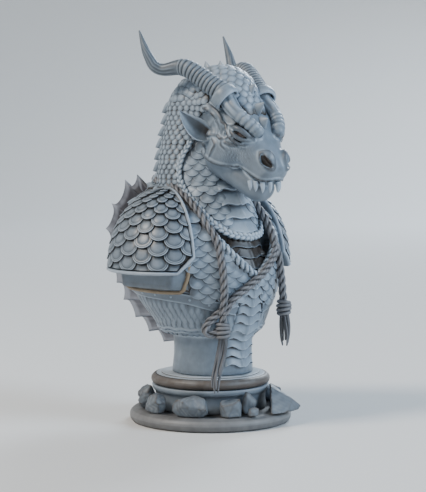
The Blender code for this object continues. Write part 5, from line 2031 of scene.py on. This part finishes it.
def make_floor():
    """Backdrop paper that lies flat round the bust and is swept up into a wall all round: a
    profile of reach and climb in metres, turned about the middle, with a small disc at the
    centre."""
    sweep = np.linspace(0, math.pi / 2, 13)
    curve = FLOOR_FLAT + SWEEP_RADIUS * np.sin(sweep)
    reach = np.concatenate([[0.02, 1.0], curve, [FLOOR_FLAT + SWEEP_RADIUS]])
    climb = np.concatenate([[0, 0], SWEEP_RADIUS * (1 - np.cos(sweep)), [WALL_TOP]])
    turn = around(FLOOR_SPOKES)
    paper = np.stack(
        [reach[:, None] * np.cos(turn), reach[:, None] * np.sin(turn), climb[:, None] + 0 * turn],
        -1,
    )
    mesh = bpy.data.meshes.new("floor")
    faces = wall(len(reach), FLOOR_SPOKES).tolist() + [list(range(FLOOR_SPOKES))]
    mesh.from_pydata(paper.reshape(-1, 3).tolist(), [], faces)
    mesh.polygons.foreach_set("use_smooth", np.ones(len(mesh.polygons), bool))
    mesh.materials.append(backdrop_paper())
    linked("floor", mesh)


def make_world():
    """Even pale light from all round, as off a studio's walls."""
    world = bpy.data.worlds.new("studio")
    bpy.context.scene.world = world
    world.use_nodes = True
    world.node_tree.nodes["Background"].inputs["Color"].default_value = linear("#dfe3e8")
    world.node_tree.nodes["Background"].inputs["Strength"].default_value = 0.25


# Materials. All are the same cast and primed resin: what differs is the paint, the wash, and
# the painted shade and highlight that follow the relief.
# Skin and scales: blue grey, pale on the ridges as a painted highlight, warm brown in the
# hollows as wash and painted shade, with a soft sheen
skin = cast_resin("wash_and_painted_light_skin_resin", "#2f2925", "#6e7b88", "#adbccb", rough=0.42)
# Shoulder plates: darker in the flats, with painted shade in the hollows, so that the scales'
# rims, pale with a painted highlight, stand out
plate_resin = cast_resin("wash_and_painted_light_plate_resin", "#211d1a", "#56606a", "#a3b0be", rough=0.38)
# Rope: taupe and dull, with painted shade darkest where the strands meet
rope_resin = cast_resin("wash_and_painted_light_rope_resin", "#2a221b", "#4a4c50", "#7f8085")
# Horns: slate, with a painted highlight pale on the rings' edges and painted shade between them
horn_resin = cast_resin("wash_and_painted_light_horn_resin", "#232325", "#545e68", "#8f9ba7")
# Fin: nearly black between its pale ribs, with a painted highlight on the ribs and edge
fin_resin = cast_resin("wash_and_painted_light_fin_resin", "#151318", "#2c2b33", "#838893")
# Foot: a warm grey, rubbed smooth, with a painted highlight on its rounded rim
foot_resin = cast_resin("sanded_foot_resin", "#35322f", "#4d4e50", "#898a8b")
# Armhole's rim: dry-brushed with tan, as worn leather is
rim_resin = cast_resin("drybrushed_rim_resin", "#463c33", "#85755f", "#b3a186")
# Drum: a cool even grey, rubbed smooth
drum_resin = cast_resin("sanded_drum_resin", "#33363b", "#68727c", "#8f9aa5")
# Ring: taupe round the band, pale on the steps' edges as a painted highlight and dark in the
# grooves as painted shade
ring_resin = cast_resin("sanded_ring_resin", "#1f1b19", "#564f4a", "#9aa3ab")
# Rocks: rough and dull, brown in the cracks as wash and painted shade and pale on their edges
# as a painted highlight
stone_resin = cast_resin(
    "wash_and_painted_light_stone_resin", "#4a4138", "#626b74", "#a09f9c", rough=0.55, grit=0.0001
)
# Eyes: dark brown under gloss varnish, which gives them a small bright light
eye_resin = cast_resin("painted_eye_resin", "#0f0b0a", "#33241f", "#61524a", rough=0.22)

# Scene
make_camera()
make_floor()
for light in LIGHTS:
    make_light(*light)
make_world()

piece("head_skin", head_skin(), skin)
piece("body_skin", body_skin(), skin)
nape_scales()
throat_side_scales()
nape_spines()
crown_scutes()
chest_mail()
flank_feathers()
piece("trunk_lips", trunk_lips(), skin)
for side, name in ((1, "left"), (-1, "right")):
    plate_node = (f"shoulder_plate_{name}",)
    piece(f"plate_shell_{name}", plate_shell(side), plate_resin, replaces=plate_node)
    piece(f"plate_scales_{name}", plate_scales(side), plate_resin, replaces=plate_node)
    piece(f"horn_{name}", horn(side), horn_resin)
    piece(f"cuff_{name}", cuff(side), skin)
    piece(f"brow_{name}", brow(side), skin)
    piece(f"ear_{name}", ear(side), skin)
    piece(f"eye_{name}", eye(side), eye_resin)
piece("back_crest", crest_sheet(), fin_resin)
piece("teeth", teeth(), skin)
piece("midline_spikes", midline_spikes(), skin)
# Painted light: the throat plates are lightened under the jaw, and the chest plates in the V are
# darkened as painted shade
piece("throat_plates", keel_plates(THROAT_KEEL, THROAT_PLATE_HALF, shade=0.08), skin)
piece("chest_plates", keel_plates(CHEST_KEEL, CHEST_PLATE_HALF, shade=-0.42), skin)
piece("column_plates", keel_plates(BELLY_KEEL, COLUMN_PLATE_HALF, waves=1.3), skin)
piece("neckline_twist", both(NECKLINE, neckline_twist, shade=0.05), skin)
piece("throat_cord", both(THROAT_CORD, throat_plait, shade=0.05), skin)
piece("armhole_rims", both(ARMHOLE, rim), rim_resin)
piece("riveted_straps", both(STRAP, strap_band), skin)
piece("strap_rivets", both(STRAP, strap_rivets), skin)

piece("twisted_ropes", ropes(), rope_resin, ROPE)
knots = gathered([knot(middle, KNOT_RADIUS) for middle in KNOTS])
piece("rope_whippings", knots, rope_resin, ROPE)
tassels = gathered([tassel(route, TASSEL_STRANDS, seed) for seed, route in enumerate(TASSELS)])
piece("rope_tassels", tassels, rope_resin, ROPE)

piece("foot_turned", turned(rounded(FOOT_PROFILE)), foot_resin, ("foot_disc",))
piece("drum_turned", turned(rounded(DRUM_PROFILE)), drum_resin, ("plinth_drum",))
piece("ring_turned", turned(rounded(RING_PROFILE)), ring_resin, ("plinth_ring",))
for number in range(1, STONES + 1):
    name = f"rock_{number:02d}"
    piece(f"stone_{number:02d}", rock(name, number), stone_resin, (name,))
